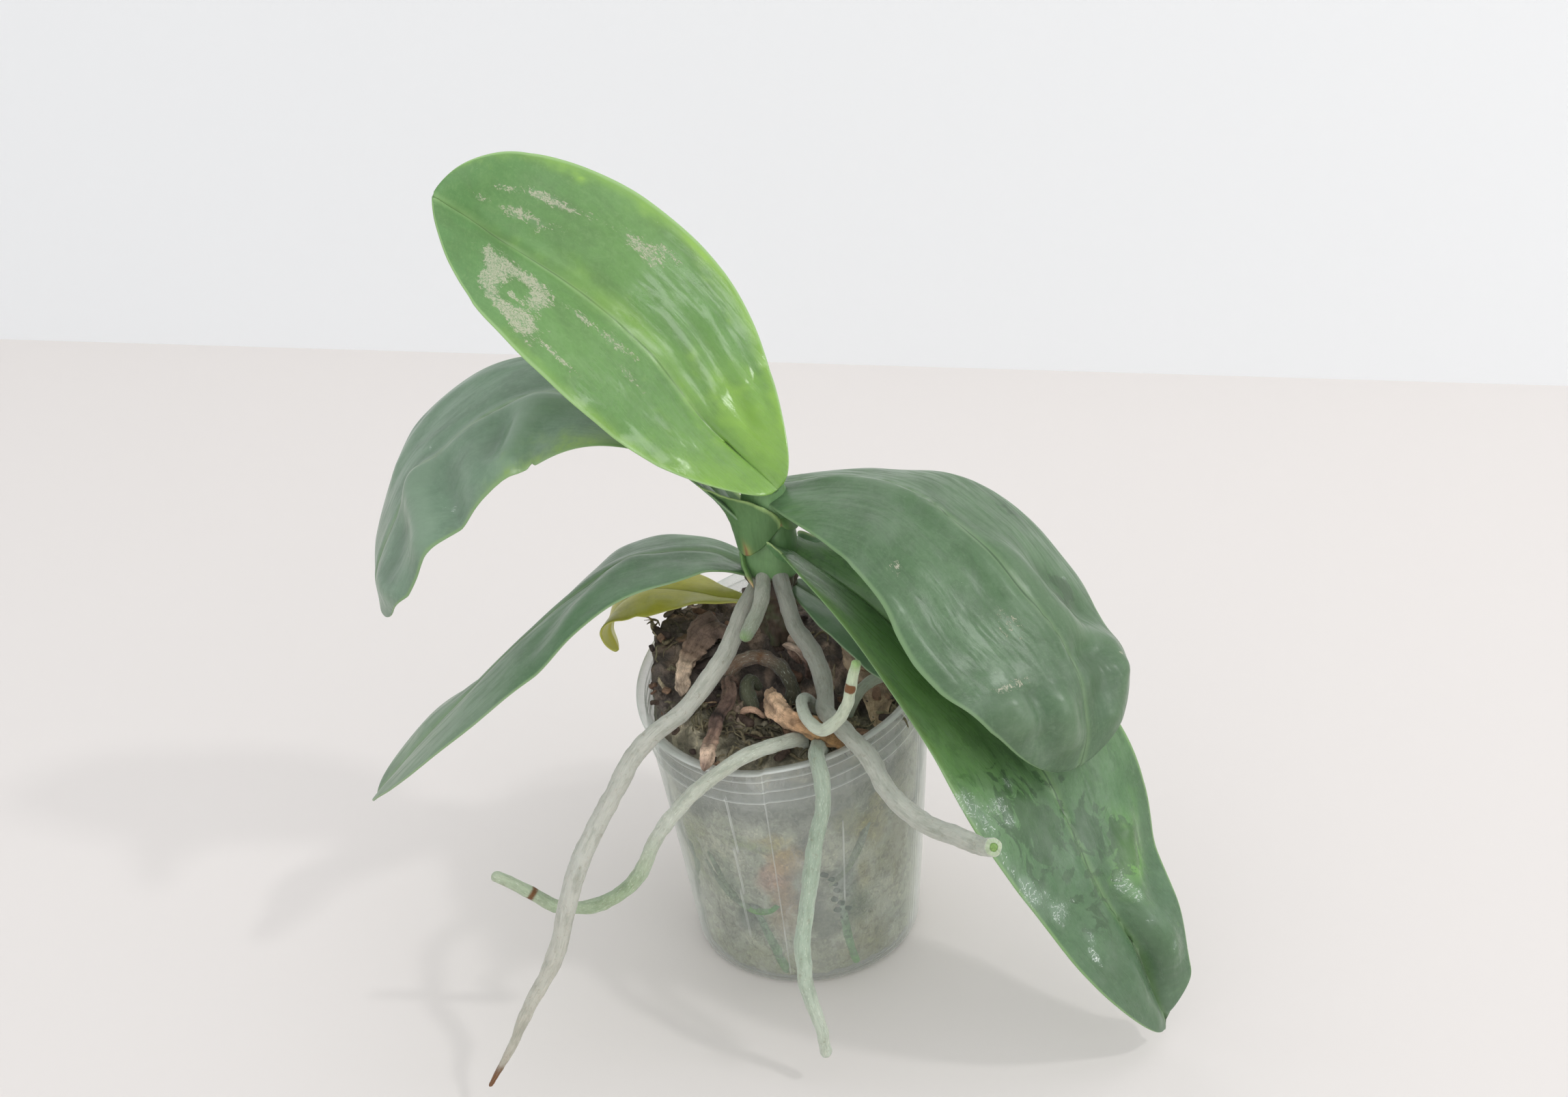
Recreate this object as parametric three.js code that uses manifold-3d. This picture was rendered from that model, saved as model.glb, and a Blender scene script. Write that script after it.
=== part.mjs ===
// A moth orchid without flowers, standing in a soft clear pot.
// Millimetres, +Z up, +X to the right, +Y away from the viewer.
// The origin is the centre of the pot's underside.
import * as THREE from 'three';
import { mergeVertices } from 'three/addons/utils/BufferGeometryUtils.js';
import Module from 'manifold-3d';

const wasm = await Module();
wasm.setup();

const DEG = Math.PI / 180;
const GAP = 0.35; // space kept between one piece and the next

// Pot: a thin tapered cup whose rim dips a little to the front left
const POT = {
  height: 120, // base to lip
  lipRadius: 60,
  neckRadius: 56.3, // wall just under the lip
  baseRadius: 44.8,
  cornerHeight: 2.8, // rounded foot of the wall
  wall: 0.8,
  floor: 1.2,
  ringHeights: [103.5, 108.6, 113.7, 118],
  ringProud: 0.6,
  ringHalf: 0.7,
  oval: 0.08, // how far the rim is out of round
  ovalAngle: 71 * DEG,
  dipX: 0.08, // slope of the rim along X and Y
  dipY: 0.13,
  sides: 40,
};
const DRAIN = { count: 6, radius: 1.8, circle: 30 };

// Root ball: fills the pot, then rises in a mound that is highest at the back left
const BALL = {
  bottom: POT.floor + GAP,
  wallGap: 0.5,
  crest: 131.7, // highest level of the mound
  frontSlope: 0.4,
  crestY: 8,
  rightSlope: 0.12,
  rightFrom: 5,
  backSlope: 0.5,
  backFrom: 24,
  hollow: { x: -2, y: -20, depth: 7, spread: 11 },
  lump: 1.6, // height of the lumps of moss and bark
  lumpSize: 9,
  edgeInset: 2.2,
  sides: 44,
  sideHeights: [8, 24, 40, 56, 72, 88, 100],
  topRings: [0.86, 0.7, 0.54, 0.38, 0.22],
};

// Short stem: centre line from inside the root ball to the growing tip, with radii
const STEM = {
  line: [[-3, 3, 114], [-3, 2, 134], [-3, 0, 150], [-3, -1, 164], [-1, -3, 180], [1, -6, 194]],
  radii: [6.5, 8, 10.5, 10, 8.5, 4],
  flat: 0.16, // wider in the plane of the leaves
  flatAngle: -40 * DEG,
  sides: 16,
  steps: 16,
};

// Leaves, from the lowest to the newest.
// spine: points along the midrib.  heading: the way the leaf points, in degrees from +X.
// turn: roll of the blade about its midrib, in degrees, from base to tip.
// riseA and riseB: how far each half folds up from flat, from base to tip.
// half: half width at the widest place.  base: half width at the stem, as a share of it.
// widest: where that is, from 0 at the base to 1 at the tip.
// bumps: [place along, place across, length, breadth, height] of each swelling or dent.
const LEAVES = [
  {
    name: 'leaf_1', heading: 160, half: 15, base: 0.15, widest: 0.52, tipPower: 1.15, risePower: 1.9,
    spine: [[-9, 5, 141], [-22, 12, 140.5], [-36, 20, 140.5], [-50, 25, 139.5], [-62, 26, 134], [-67.5, 24, 126], [-65, 21, 116.5]],
    turn: [0, 6, 8, 8], riseA: [30, 10, 6, 20], riseB: [30, 4, 0, 20], thick: 1.2,
    bumps: [],
  },
  {
    name: 'leaf_2', heading: -48, half: 13, base: 0.3, widest: 0.55, tipPower: 2, risePower: 1,
    spine: [[4.5, 1.5, 149], [13.5, -10.5, 148], [23, -23, 145], [33, -36, 139], [44, -45, 130], [52, -52, 119]],
    turn: [0, -4, -6, -6], riseA: [26, 16, 10, 10], riseB: [26, 18, 10, 10], thick: 1.6,
    bumps: [],
  },
  {
    name: 'leaf_3', heading: 182, half: 29.5, base: 0.36, widest: 0.64, tipPower: 1.9, risePower: 1,
    spine: [[-7, 8, 151], [-29, 10, 160], [-61, 4, 160], [-95, -1, 139], [-125, -11, 115], [-161, -6, 77]],
    turn: [-3, -7, -8, 2], riseA: [13, 5, -10, 15], riseB: [20, 2, -6, 25], thick: 2,
    bumps: [[0.66, 0.8, 0.09, 0.5, -3], [0.85, 0.5, 0.08, 0.4, 1.5]],
  },
  {
    name: 'leaf_4', heading: -42, half: 37, base: 0.2, widest: 0.5, tipPower: 1.25, risePower: 0.84,
    spine: [[1, -2, 168], [32, -36, 155], [67, -60, 120], [93, -84, 90], [107, -93, 55], [122, -90, 12]],
    turn: [10, -25, -4, -16], riseA: [31, 42, 4, 38], riseB: [21, 42, 11, 38], thick: 2.2,
    bumps: [[0.84, -0.55, 0.07, 0.4, 3], [0.74, -0.8, 0.07, 0.4, -2]],
  },
  {
    name: 'leaf_5', heading: 176, half: 36, base: 0.21, widest: 0.57, tipPower: 2.4, risePower: 1.2,
    spine: [[-8, -3, 173], [-46, 11, 214], [-87, 18, 222], [-123, 13, 203], [-143, 6, 171], [-146, 2, 152]],
    turn: [3, 17, 12, 12], riseA: [7, 2, 11, 7], riseB: [34, 2, -9, -7], thick: 2.2,
    bumps: [[0.5, -0.6, 0.06, 0.45, 3.5], [0.6, -0.75, 0.06, 0.45, -3], [0.82, -0.5, 0.06, 0.4, 3]],
  },
  {
    name: 'leaf_6', heading: -38, half: 46.5, base: 0.17, widest: 0.59, tipPower: 1.4, risePower: 0.88,
    spine: [[1, 7, 188], [24, -13, 194], [48, -30, 193], [70, -47, 181], [87, -66, 159], [93, -76, 139], [93, -79, 114]],
    turn: [1, 1, 0, -7], riseA: [-3, -4, -15, -6], riseB: [2, -4, -8, 25], thick: 2.4,
    bumps: [[0.85, 0.4, 0.07, 0.35, 3], [0.7, -0.6, 0.06, 0.4, -3], [0.8, -0.65, 0.06, 0.4, 3]],
  },
  {
    name: 'leaf_7', heading: 178, half: 40.5, base: 0.09, widest: 0.5, tipPower: 1.8, risePower: 0.63,
    spine: [[2, -10, 193], [-20, 8, 213], [-38, 11, 243], [-63, 10, 269], [-86, 7, 288], [-100, -6, 305]],
    turn: [61, 53, 50, 44], riseA: [22, 12, 19, 19], riseB: [38, 20, 26, 26], thick: 2,
    bumps: [],
  },
];
const BLADE = {
  rows: 19,
  columns: [-1, -0.72, -0.42, -0.14, 0.14, 0.42, 0.72, 1],
  curl: 0.12, // how far the edges bend back, as a share of the half width
  edge: 0.9, // thickness at the edge
  leastWidth: 0.05, // blunt end, as a share of the half width
  tipCrowding: 1.3,
};

// Aerial roots: centre line and radius; end is the radius at the tip
const ROOTS = [
  {
    name: 'aerial_root_1', radius: 3.4, end: 0.9, steps: 30,
    line: [[-5, -2, 156], [-10, -7, 152], [-15, -15, 147], [-21, -24, 138], [-29, -32, 131], [-38, -39, 124],
      [-48, -46, 120.5], [-56, -51, 115], [-62, -56, 107], [-70, -61, 96], [-76, -66, 87], [-81, -70, 77],
      [-85, -74, 66], [-88, -78, 57], [-93, -82, 48], [-98, -86, 42], [-103, -90, 35], [-107, -93, 28],
      [-117, -97, 13]],
  },
  {
    name: 'aerial_root_2', radius: 2.6, end: 2, steps: 24,
    line: [[3, -43, 107], [2.5, -48, 114], [-3, -54, 117.5], [-10, -59, 119], [-17, -62, 118.5], [-25, -65, 115.5],
      [-35, -67, 109], [-45, -68, 99], [-52, -67, 88], [-58, -65, 75], [-66, -62, 65], [-75, -60, 59],
      [-83, -58, 57], [-91, -57, 58], [-97, -57, 63], [-104, -57, 69], [-111, -58, 75]],
  },
  {
    name: 'aerial_root_3', radius: 2.8, end: 2, steps: 22,
    line: [[10, -43, 103], [9, -49, 110.5], [8, -56, 115.3], [7.5, -64, 117], [8.5, -71, 112], [8, -76, 104],
      [5, -79, 95], [3, -81, 86], [1, -83, 76], [-1, -85, 66], [-3, -87, 56], [-3, -88, 47], [-3, -90, 40],
      [-1, -92, 31], [1, -94, 23], [2, -97, 13]],
  },
  {
    name: 'aerial_root_4', radius: 3.3, end: 3.1, steps: 26,
    line: [[-1, -1, 162], [0, -8, 159.5], [1.5, -14, 153], [4, -20, 144], [9, -26, 137], [12, -32, 130],
      [12.5, -39, 125.5], [12, -46, 124], [14, -53, 124.5], [19, -61, 122.5], [25, -70, 119], [29, -80, 114],
      [34, -90, 112], [42, -99, 110], [50, -107, 111], [56, -114, 112], [59, -123, 118]],
  },
  {
    name: 'aerial_root_5', radius: 2.1, end: 1.7, steps: 18,
    line: [[10, -27, 110], [7, -33, 120], [4.5, -41, 126], [4, -49, 128], [5.5, -57, 127.5], [10, -63, 127],
      [15, -66, 132], [19, -67, 139], [21, -68, 148], [23, -70, 157]],
  },
  {
    name: 'aerial_root_6', radius: 2.8, end: 2.1, steps: 10,
    line: [[-5, -3, 160], [-6, -10, 158], [-7, -17, 154], [-10.5, -24, 149.5], [-14.5, -31, 146]],
  },
  {
    name: 'aerial_root_7', radius: 2.1, end: 1.8, steps: 12,
    line: [[19, -33, 108], [21, -34, 116], [25, -31, 121], [31, -27, 123], [37, -24, 122], [43, -22, 119]],
  },
  {
    name: 'surface_root_1', radius: 2.9, end: 2.4, steps: 14,
    line: [[-23, -13, 118], [-19, -12, 125], [-13, -11, 127.5], [-7, -12, 126.5], [-2, -15, 123.5], [1, -19, 118], [0, -21, 110]],
  },
  {
    name: 'surface_root_2', radius: 2.5, end: 2, steps: 10,
    line: [[-11, -15, 115], [-14, -17, 121], [-15.5, -22, 120], [-13.5, -26, 115], [-11, -27, 108]],
  },
];
const ROOT_SIDES = 8;

// Dry sheaths and dead roots lying on the mound: centre line, half widths and half thickness.
// side: the direction in which the piece is wide.
const DRY_PIECES = [
  {
    name: 'dry_scale_1', thick: 0.7, steps: 9, side: [0.85, -0.4, 0.25], widths: [2, 5.5, 6, 2.5, 2.6, 1],
    line: [[-20, 5, 128], [-24, 2, 134], [-30, -2, 133.5], [-35, -9, 130.5], [-38, -17, 126.5], [-39, -25, 122]],
  },
  {
    name: 'dead_root_1', thick: 1.2, steps: 18, side: [1, -0.3, 0], widths: [0.9, 1.6, 2, 2.2, 1.6, 2, 1.6, 0.8],
    line: [[-19, -17, 116], [-20, -18, 121.5], [-22, -20, 123.5], [-21.5, -25, 122], [-23, -30, 119.8], [-26, -35, 118.8],
      [-27.5, -41, 117], [-29, -47, 116], [-30, -53, 116.2], [-30.5, -58, 116], [-31.5, -61.8, 114]],
  },
  {
    name: 'dry_sheath_1', thick: 1, steps: 18, side: [0.75, 0.6, -0.3], widths: [1.6, 3, 3.6, 3, 2.6, 3, 2.6, 1],
    line: [[-6, -27, 112], [-7, -29, 120], [-6.5, -35, 122.5], [-4, -42, 122.5], [-0.5, -47, 122.5], [4.5, -50, 122],
      [10, -51, 118.4], [15.5, -50.5, 115], [19, -48, 109]],
  },
  {
    name: 'dry_twig_1', thick: 0.8, steps: 5, side: [0, 1, 0.3], widths: [0.8, 1.2, 1],
    line: [[-18.5, -30, 112], [-17, -31, 117], [-13, -32, 117.6], [-9.5, -31.5, 114]],
  },
  {
    name: 'dry_curl_1', thick: 0.8, steps: 10, side: [0.6, 0.8, 0.2], widths: [1.5, 2.6, 3, 2.6, 1.5],
    line: [[5, -10, 122], [2.5, -10.5, 130], [1.5, -12.5, 132.5], [4.5, -15, 132], [7.5, -16.5, 128], [8, -16.5, 119]],
  },
  {
    name: 'dry_leaf_1', thick: 0.7, steps: 9, side: [0.95, 0, -0.3], widths: [3, 6, 7, 4, 1],
    line: [[29, 1, 118], [28, -3, 125], [28, -12, 123], [31, -22, 118], [31, -31, 115], [30, -39, 110]],
  },
];
const DRY_SIDES = 8;

const COLOURS = {
  pot: [0xdfe4e2, 0.3], root_ball: [0x4a3b2c, 0.95], stem: [0x7ba356, 0.5],
  leaf: [0x4f7f4c, 0.35], leafOld: [0xb3ab3c, 0.5], leafNew: [0x6ea84c, 0.3], leafBlue: [0x58786a, 0.4],
  root: [0xa9b3a4, 0.7], rootGreen: [0x94b094, 0.6], dry: [0xa5785a, 0.85],
};

// Seeded noise

/** A repeatable number from 0 to 1 for a whole-number lattice point. */
function lattice(i, j, k) {
  const s = Math.sin(i * 127.1 + j * 311.7 + k * 74.7 + 17) * 43758.5453;
  return s - Math.floor(s);
}

/** Smooth noise from -1 to 1 at a point in space. */
function noise(x, y, z) {
  const [i, j, k] = [x, y, z].map(Math.floor);
  const [u, v, w] = [x - i, y - j, z - k].map((f) => f * f * (3 - 2 * f));
  const mix = (a, b, f) => a + (b - a) * f;
  const face = (kk) => mix(
    mix(lattice(i, j, kk), lattice(i + 1, j, kk), u),
    mix(lattice(i, j + 1, kk), lattice(i + 1, j + 1, kk), u), v);
  return 2 * mix(face(k), face(k + 1), w) - 1;
}

// Curves through points

/** Value at t (0 to 1) of a smooth curve through a list of numbers. */
function through(values, t) {
  const n = values.length - 1;
  const at = (i) => (i < 0 ? 2 * values[0] - values[1] : i > n ? 2 * values[n] - values[n - 1] : values[i]);
  const u = Math.min(Math.max(t, 0) * n, n - 1e-9);
  const i = Math.floor(u);
  const f = u - i;
  const [a, b, c, d] = [at(i - 1), at(i), at(i + 1), at(i + 2)];
  return 0.5 * (2 * b + (c - a) * f + (2 * a - 5 * b + 4 * c - d) * f * f + (3 * b - 3 * c + d - a) * f ** 3);
}

/** Point at t of a smooth curve through a list of points. */
function throughPoints(points, t) {
  const axis = (k) => through(points.map((p) => p[k]), t);
  return new THREE.Vector3(axis(0), axis(1), axis(2));
}

/** Straight-line value at t of a list of numbers. */
function along(values, t) {
  const u = Math.min(Math.max(t, 0), 1) * (values.length - 1);
  const i = Math.min(Math.floor(u), values.length - 2);
  return values[i] + (values[i + 1] - values[i]) * (u - i);
}

// Closed meshes from rings of points

/** Closed geometry from rings of equal length, with a point at each end. */
function loft(rings, first, last) {
  const n = rings[0].length;
  const points = [...rings.flat(), first, last];
  const faces = [];
  for (let r = 0; r + 1 < rings.length; r++) {
    for (let k = 0; k < n; k++) {
      const [a, b] = [r * n + k, r * n + ((k + 1) % n)];
      faces.push(a, b, b + n, a, b + n, a + n);
    }
  }
  const [start, end, tail] = [points.length - 2, points.length - 1, (rings.length - 1) * n];
  for (let k = 0; k < n; k++) {
    const next = (k + 1) % n;
    faces.push(start, next, k, end, tail + k, tail + next);
  }
  return shape(points, faces);
}

function shape(points, faces) {
  const geometry = new THREE.BufferGeometry();
  geometry.setAttribute('position', new THREE.Float32BufferAttribute(points.flatMap((p) => [p.x, p.y, p.z]), 3));
  geometry.setIndex(faces);
  return geometry;
}

/**
 * An oval section swept along a line. Its wide way lies along `side` where one is given.
 * `extra` makes the whole body that much bigger all round.
 */
function sweep({ line, steps, side }, sides, halfWidth, halfThick, extra) {
  const curve = new THREE.CatmullRomCurve3(line.map((p) => new THREE.Vector3(...p)));
  const { tangents, normals, binormals } = curve.computeFrenetFrames(steps, false);
  const centres = tangents.map((_, s) => curve.getPointAt(s / steps));
  centres[0].addScaledVector(tangents[0], -extra);
  centres[steps].addScaledVector(tangents[steps], extra);
  const rings = centres.map((centre, s) => {
    const t = s / steps;
    const wide = side ? new THREE.Vector3(...side).projectOnPlane(tangents[s]).normalize() : normals[s];
    const thin = side ? new THREE.Vector3().crossVectors(tangents[s], wide) : binormals[s];
    return Array.from({ length: sides }, (_, k) => {
      const a = (2 * Math.PI * k) / sides;
      return centre.clone()
        .addScaledVector(wide, (halfWidth(t) + extra) * Math.cos(a))
        .addScaledVector(thin, (halfThick(t) + extra) * Math.sin(a));
    });
  });
  const tip = centres[steps].clone().addScaledVector(tangents[steps], halfThick(1) * 0.6);
  return loft(rings, centres[0], tip);
}

// Solids and booleans

/** Turns a closed geometry into a solid that can be joined and cut. */
function solid(geometry) {
  const bare = geometry.clone();
  bare.deleteAttribute('normal');
  bare.deleteAttribute('uv');
  const merged = mergeVertices(bare, 1e-4);
  const mesh = new wasm.Mesh({
    numProp: 3,
    vertProperties: new Float32Array(merged.attributes.position.array),
    triVerts: new Uint32Array(merged.index.array),
  });
  return new wasm.Manifold(mesh);
}

/** The largest body of a solid, without loose scraps, as a geometry. */
function geometryOf(result) {
  const bodies = result.decompose().sort((a, b) => b.volume() - a.volume());
  const { vertProperties, triVerts, numProp } = bodies[0].getMesh();
  const geometry = new THREE.BufferGeometry();
  const positions = [];
  for (let i = 0; i < vertProperties.length; i += numProp) {
    positions.push(vertProperties[i], vertProperties[i + 1], vertProperties[i + 2]);
  }
  geometry.setAttribute('position', new THREE.Float32BufferAttribute(positions, 3));
  geometry.setIndex(Array.from(triVerts));
  return geometry;
}

// Pot

/** Moves a round point of the pot to where the soft, slightly bent pot has it. */
function soften(x, y, z) {
  const k = z / POT.height;
  const angle = Math.atan2(y, x);
  const r = Math.hypot(x, y) * (1 + POT.oval * k * Math.cos(2 * (angle - POT.ovalAngle)));
  const [sx, sy] = [r * Math.cos(angle), r * Math.sin(angle)];
  return new THREE.Vector3(sx, sy, z + k * (POT.dipX * sx + POT.dipY * sy));
}

/** Outside radius of the pot's plain wall at a height. */
function wallRadius(z) {
  const t = (z - POT.cornerHeight) / (POT.ringHeights[0] - POT.cornerHeight);
  return POT.baseRadius + (POT.neckRadius - POT.baseRadius) * Math.min(Math.max(t, 0), 1);
}

function potProfile() {
  const { wall, floor, height, lipRadius, neckRadius, baseRadius, cornerHeight, ringProud, ringHalf } = POT;
  const outside = [[0, 0], [baseRadius - 4.5, 0], [baseRadius - 1.3, 0.8], [baseRadius, cornerHeight],
    [wallRadius(50), 50]];
  for (const z of POT.ringHeights) {
    const r = wallRadius(z);
    outside.push([r, z - ringHalf], [r + ringProud, z], [r, z + ringHalf]);
  }
  const lip = [[lipRadius - 0.4, height - 0.6], [lipRadius, height], [lipRadius - 0.8, height + 0.4],
    [neckRadius - wall, height - 1]];
  const inside = [[wallRadius(103) - wall, 103], [wallRadius(50) - wall, 50], [baseRadius - wall, cornerHeight + 0.6],
    [baseRadius - 1.9, floor + 0.5], [baseRadius - 4.6, floor], [0, floor]];
  return [...outside, ...lip, ...inside].map(([r, z]) => new THREE.Vector2(r, z));
}

function makePot() {
  const geometry = new THREE.LatheGeometry(potProfile(), POT.sides);
  geometry.rotateX(Math.PI / 2);
  const p = geometry.attributes.position;
  for (let i = 0; i < p.count; i++) {
    const v = soften(p.getX(i), p.getY(i), p.getZ(i));
    p.setXYZ(i, v.x, v.y, v.z);
  }
  let pot = solid(geometry);
  for (let k = 0; k < DRAIN.count; k++) {
    const angle = (2 * Math.PI * (k + 0.5)) / DRAIN.count;
    const hole = new THREE.CylinderGeometry(DRAIN.radius, DRAIN.radius, 6, 8);
    hole.rotateX(Math.PI / 2);
    hole.translate(DRAIN.circle * Math.cos(angle), DRAIN.circle * Math.sin(angle), 0);
    pot = pot.subtract(solid(hole));
  }
  return pot;
}

// Root ball

/** Height of the mound at a place, without its lumps. */
function moundHeight(x, y) {
  const { crest, frontSlope, crestY, rightSlope, rightFrom, backSlope, backFrom, hollow } = BALL;
  const dip = hollow.depth * Math.exp(-((x - hollow.x) ** 2 + (y - hollow.y) ** 2) / (2 * hollow.spread ** 2));
  return crest + frontSlope * Math.min(y - crestY, 0) - rightSlope * Math.max(x - rightFrom, 0)
    - backSlope * Math.max(y - backFrom, 0) - dip;
}

function makeRootBall() {
  const { sides, sideHeights, topRings, bottom, wallGap, edgeInset, lump, lumpSize } = BALL;
  const inner = (z) => wallRadius(z) - POT.wall - wallGap;
  const rings = [];
  const angleOf = (k) => (2 * Math.PI * k) / sides;
  const level = (radius, z, roughness) => Array.from({ length: sides }, (_, k) => {
    const [c, s] = [Math.cos(angleOf(k)), Math.sin(angleOf(k))];
    const dent = roughness * (0.5 + 0.5 * noise(c * 6, s * 6, z / 7));
    const r = radius - dent;
    return soften(r * c, r * s, z);
  });
  rings.push(level(inner(4) - 4.5, bottom, 0), level(inner(5), 4.5, 0.6));
  for (const z of sideHeights) rings.push(level(inner(z), z, 1.6));
  const neck = POT.neckRadius - POT.wall - wallGap;
  const topLevel = (share, inset) => Array.from({ length: sides }, (_, k) => {
    const [c, s] = [Math.cos(angleOf(k)), Math.sin(angleOf(k))];
    const r = (neck - inset) * share;
    const p = soften(r * c, r * s, POT.height);
    const bump = noise(p.x / lumpSize, p.y / lumpSize, 3) * lump * (share < 0.8 ? 1.4 : 1);
    return new THREE.Vector3(p.x, p.y, moundHeight(p.x, p.y) + bump);
  });
  rings.push(topLevel(1, edgeInset));
  for (const share of topRings) rings.push(topLevel(share, 0));
  const bottomCentre = new THREE.Vector3(0, 0, bottom);
  const topCentre = new THREE.Vector3(0, 0, moundHeight(0, 0));
  return solid(loft(rings, bottomCentre, topCentre));
}

// Stem

function makeStem(extra = 0) {
  const rings = [];
  for (let s = 0; s <= STEM.steps; s++) {
    const t = s / STEM.steps;
    const centre = throughPoints(STEM.line, t);
    const radius = through(STEM.radii, t) + extra;
    rings.push(Array.from({ length: STEM.sides }, (_, k) => {
      const a = (2 * Math.PI * k) / STEM.sides;
      const r = radius * (1 + STEM.flat * Math.cos(2 * (a - STEM.flatAngle)));
      return new THREE.Vector3(centre.x + r * Math.cos(a), centre.y + r * Math.sin(a), centre.z);
    }));
  }
  const bottom = throughPoints(STEM.line, 0);
  bottom.z -= extra;
  const top = throughPoints(STEM.line, 1);
  top.z += 1.5 + extra;
  rings[0].forEach((p) => { p.z -= extra; });
  rings.at(-1).forEach((p) => { p.z += extra; });
  return solid(loft(rings, bottom, top));
}

// Leaves

/** Half width of a leaf at t, as a share of its widest half width. */
function leafWidth(leaf, t) {
  if (t < leaf.widest) {
    return leaf.base + (1 - leaf.base) * Math.sin((t / leaf.widest) * (Math.PI / 2)) ** leaf.risePower;
  }
  const fall = 1 - ((t - leaf.widest) / (1 - leaf.widest)) ** leaf.tipPower;
  return Math.max(Math.sqrt(Math.max(fall, 0)), BLADE.leastWidth);
}

/** Point of the blade's middle surface: t runs from base to tip, v from edge to edge. */
function leafPoint(leaf, t, v) {
  const step = 1e-3;
  const centre = throughPoints(leaf.spine, t);
  const forward = throughPoints(leaf.spine, Math.min(t + step, 1))
    .sub(throughPoints(leaf.spine, Math.max(t - step, 0))).normalize();
  const heading = leaf.heading * DEG;
  const side = new THREE.Vector3(Math.sin(heading), -Math.cos(heading), 0);
  side.addScaledVector(forward, -side.dot(forward)).normalize();
  const up = new THREE.Vector3().crossVectors(side, forward);
  const turn = through(leaf.turn, t) * DEG;
  const across = side.clone().multiplyScalar(Math.cos(turn)).addScaledVector(up, Math.sin(turn));
  const normal = up.clone().multiplyScalar(Math.cos(turn)).addScaledVector(side, -Math.sin(turn));
  const rise = (v >= 0 ? through(leaf.riseA, t) : through(leaf.riseB, t)) * DEG;
  const half = leaf.half * leafWidth(leaf, t);
  let lift = half * Math.abs(v) * Math.sin(rise) - half * BLADE.curl * v * v;
  for (const [bt, bv, lt, lv, height] of leaf.bumps) {
    lift += height * Math.exp(-(((t - bt) / lt) ** 2) - (((v - bv) / lv) ** 2));
  }
  return centre.addScaledVector(across, half * v * Math.cos(rise)).addScaledVector(normal, lift);
}

function makeLeaf(leaf) {
  const { rows, columns, edge, tipCrowding } = BLADE;
  const n = columns.length;
  const places = Array.from({ length: rows + 1 }, (_, r) => 1 - (1 - r / rows) ** tipCrowding);
  const grid = places.map((t) => columns.map((v) => leafPoint(leaf, t, v)));
  const normalAt = (r, c) => {
    const alongLeaf = grid[Math.min(r + 1, rows)][c].clone().sub(grid[Math.max(r - 1, 0)][c]);
    const acrossLeaf = grid[r][Math.min(c + 1, n - 1)].clone().sub(grid[r][Math.max(c - 1, 0)]);
    return acrossLeaf.cross(alongLeaf).normalize();
  };
  const rings = places.map((t, r) => {
    const ease = Math.min(1, 0.55 + leafWidth(leaf, t));
    const offset = (c) => normalAt(r, c)
      .multiplyScalar((edge + (leaf.thick - edge) * (1 - columns[c] ** 2) * ease) / 2);
    const upper = columns.map((_, c) => grid[r][c].clone().add(offset(c)));
    const lower = columns.map((_, c) => grid[r][c].clone().sub(offset(c)));
    return { upper, lower };
  });
  return solid(bladeGeometry(rings, n));
}

/** Closed blade: both faces are split into triangles along the same diagonals. */
function bladeGeometry(rings, n) {
  const points = rings.flatMap(({ upper, lower }) => [...upper, ...lower]);
  const top = (r, c) => r * 2 * n + c;
  const under = (r, c) => r * 2 * n + n + c;
  const last = rings.length - 1;
  const faces = [];
  const quad = (a, b, c, d) => faces.push(a, b, c, a, c, d);
  for (let r = 0; r < last; r++) {
    for (let c = 0; c + 1 < n; c++) {
      quad(top(r, c), top(r, c + 1), top(r + 1, c + 1), top(r + 1, c));
      const [a, b, d, e] = [under(r, c), under(r, c + 1), under(r + 1, c + 1), under(r + 1, c)];
      faces.push(a, d, b, a, e, d);
    }
    quad(top(r, 0), top(r + 1, 0), under(r + 1, 0), under(r, 0));
    quad(top(r, n - 1), under(r, n - 1), under(r + 1, n - 1), top(r + 1, n - 1));
  }
  for (let c = 0; c + 1 < n; c++) {
    quad(top(0, c), under(0, c), under(0, c + 1), top(0, c + 1));
    quad(top(last, c), top(last, c + 1), under(last, c + 1), under(last, c));
  }
  return shape(points, faces);
}

// Roots and dry pieces

function makeRoot(root, extra = 0) {
  const radius = (t) => root.radius + (root.end - root.radius) * Math.max(0, (t - 0.75) / 0.25);
  return solid(sweep(root, ROOT_SIDES, radius, radius, extra));
}

function makeDryPiece(piece, extra = 0) {
  const width = (t) => along(piece.widths, t);
  return solid(sweep(piece, DRY_SIDES, width, () => piece.thick, extra));
}

// Assembly

const group = new THREE.Group();

function place(name, result, [colour, roughness], look = {}) {
  const material = new THREE.MeshStandardMaterial({ color: colour, roughness, metalness: 0, ...look });
  const mesh = new THREE.Mesh(geometryOf(result), material);
  mesh.name = name;
  group.add(mesh);
}

const leafColours = {
  leaf_1: COLOURS.leafOld, leaf_5: COLOURS.leafBlue, leaf_7: COLOURS.leafNew,
};
const grownStem = makeStem(GAP);
const sweptPieces = [
  ...ROOTS.map((root) => ({ name: root.name, body: makeRoot(root), grown: makeRoot(root, GAP), root: true })),
  ...DRY_PIECES.map((piece) => ({ name: piece.name, body: makeDryPiece(piece), grown: makeDryPiece(piece, GAP) })),
];

let rootBall = makeRootBall().subtract(grownStem);
for (const { grown } of sweptPieces) rootBall = rootBall.subtract(grown);

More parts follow.
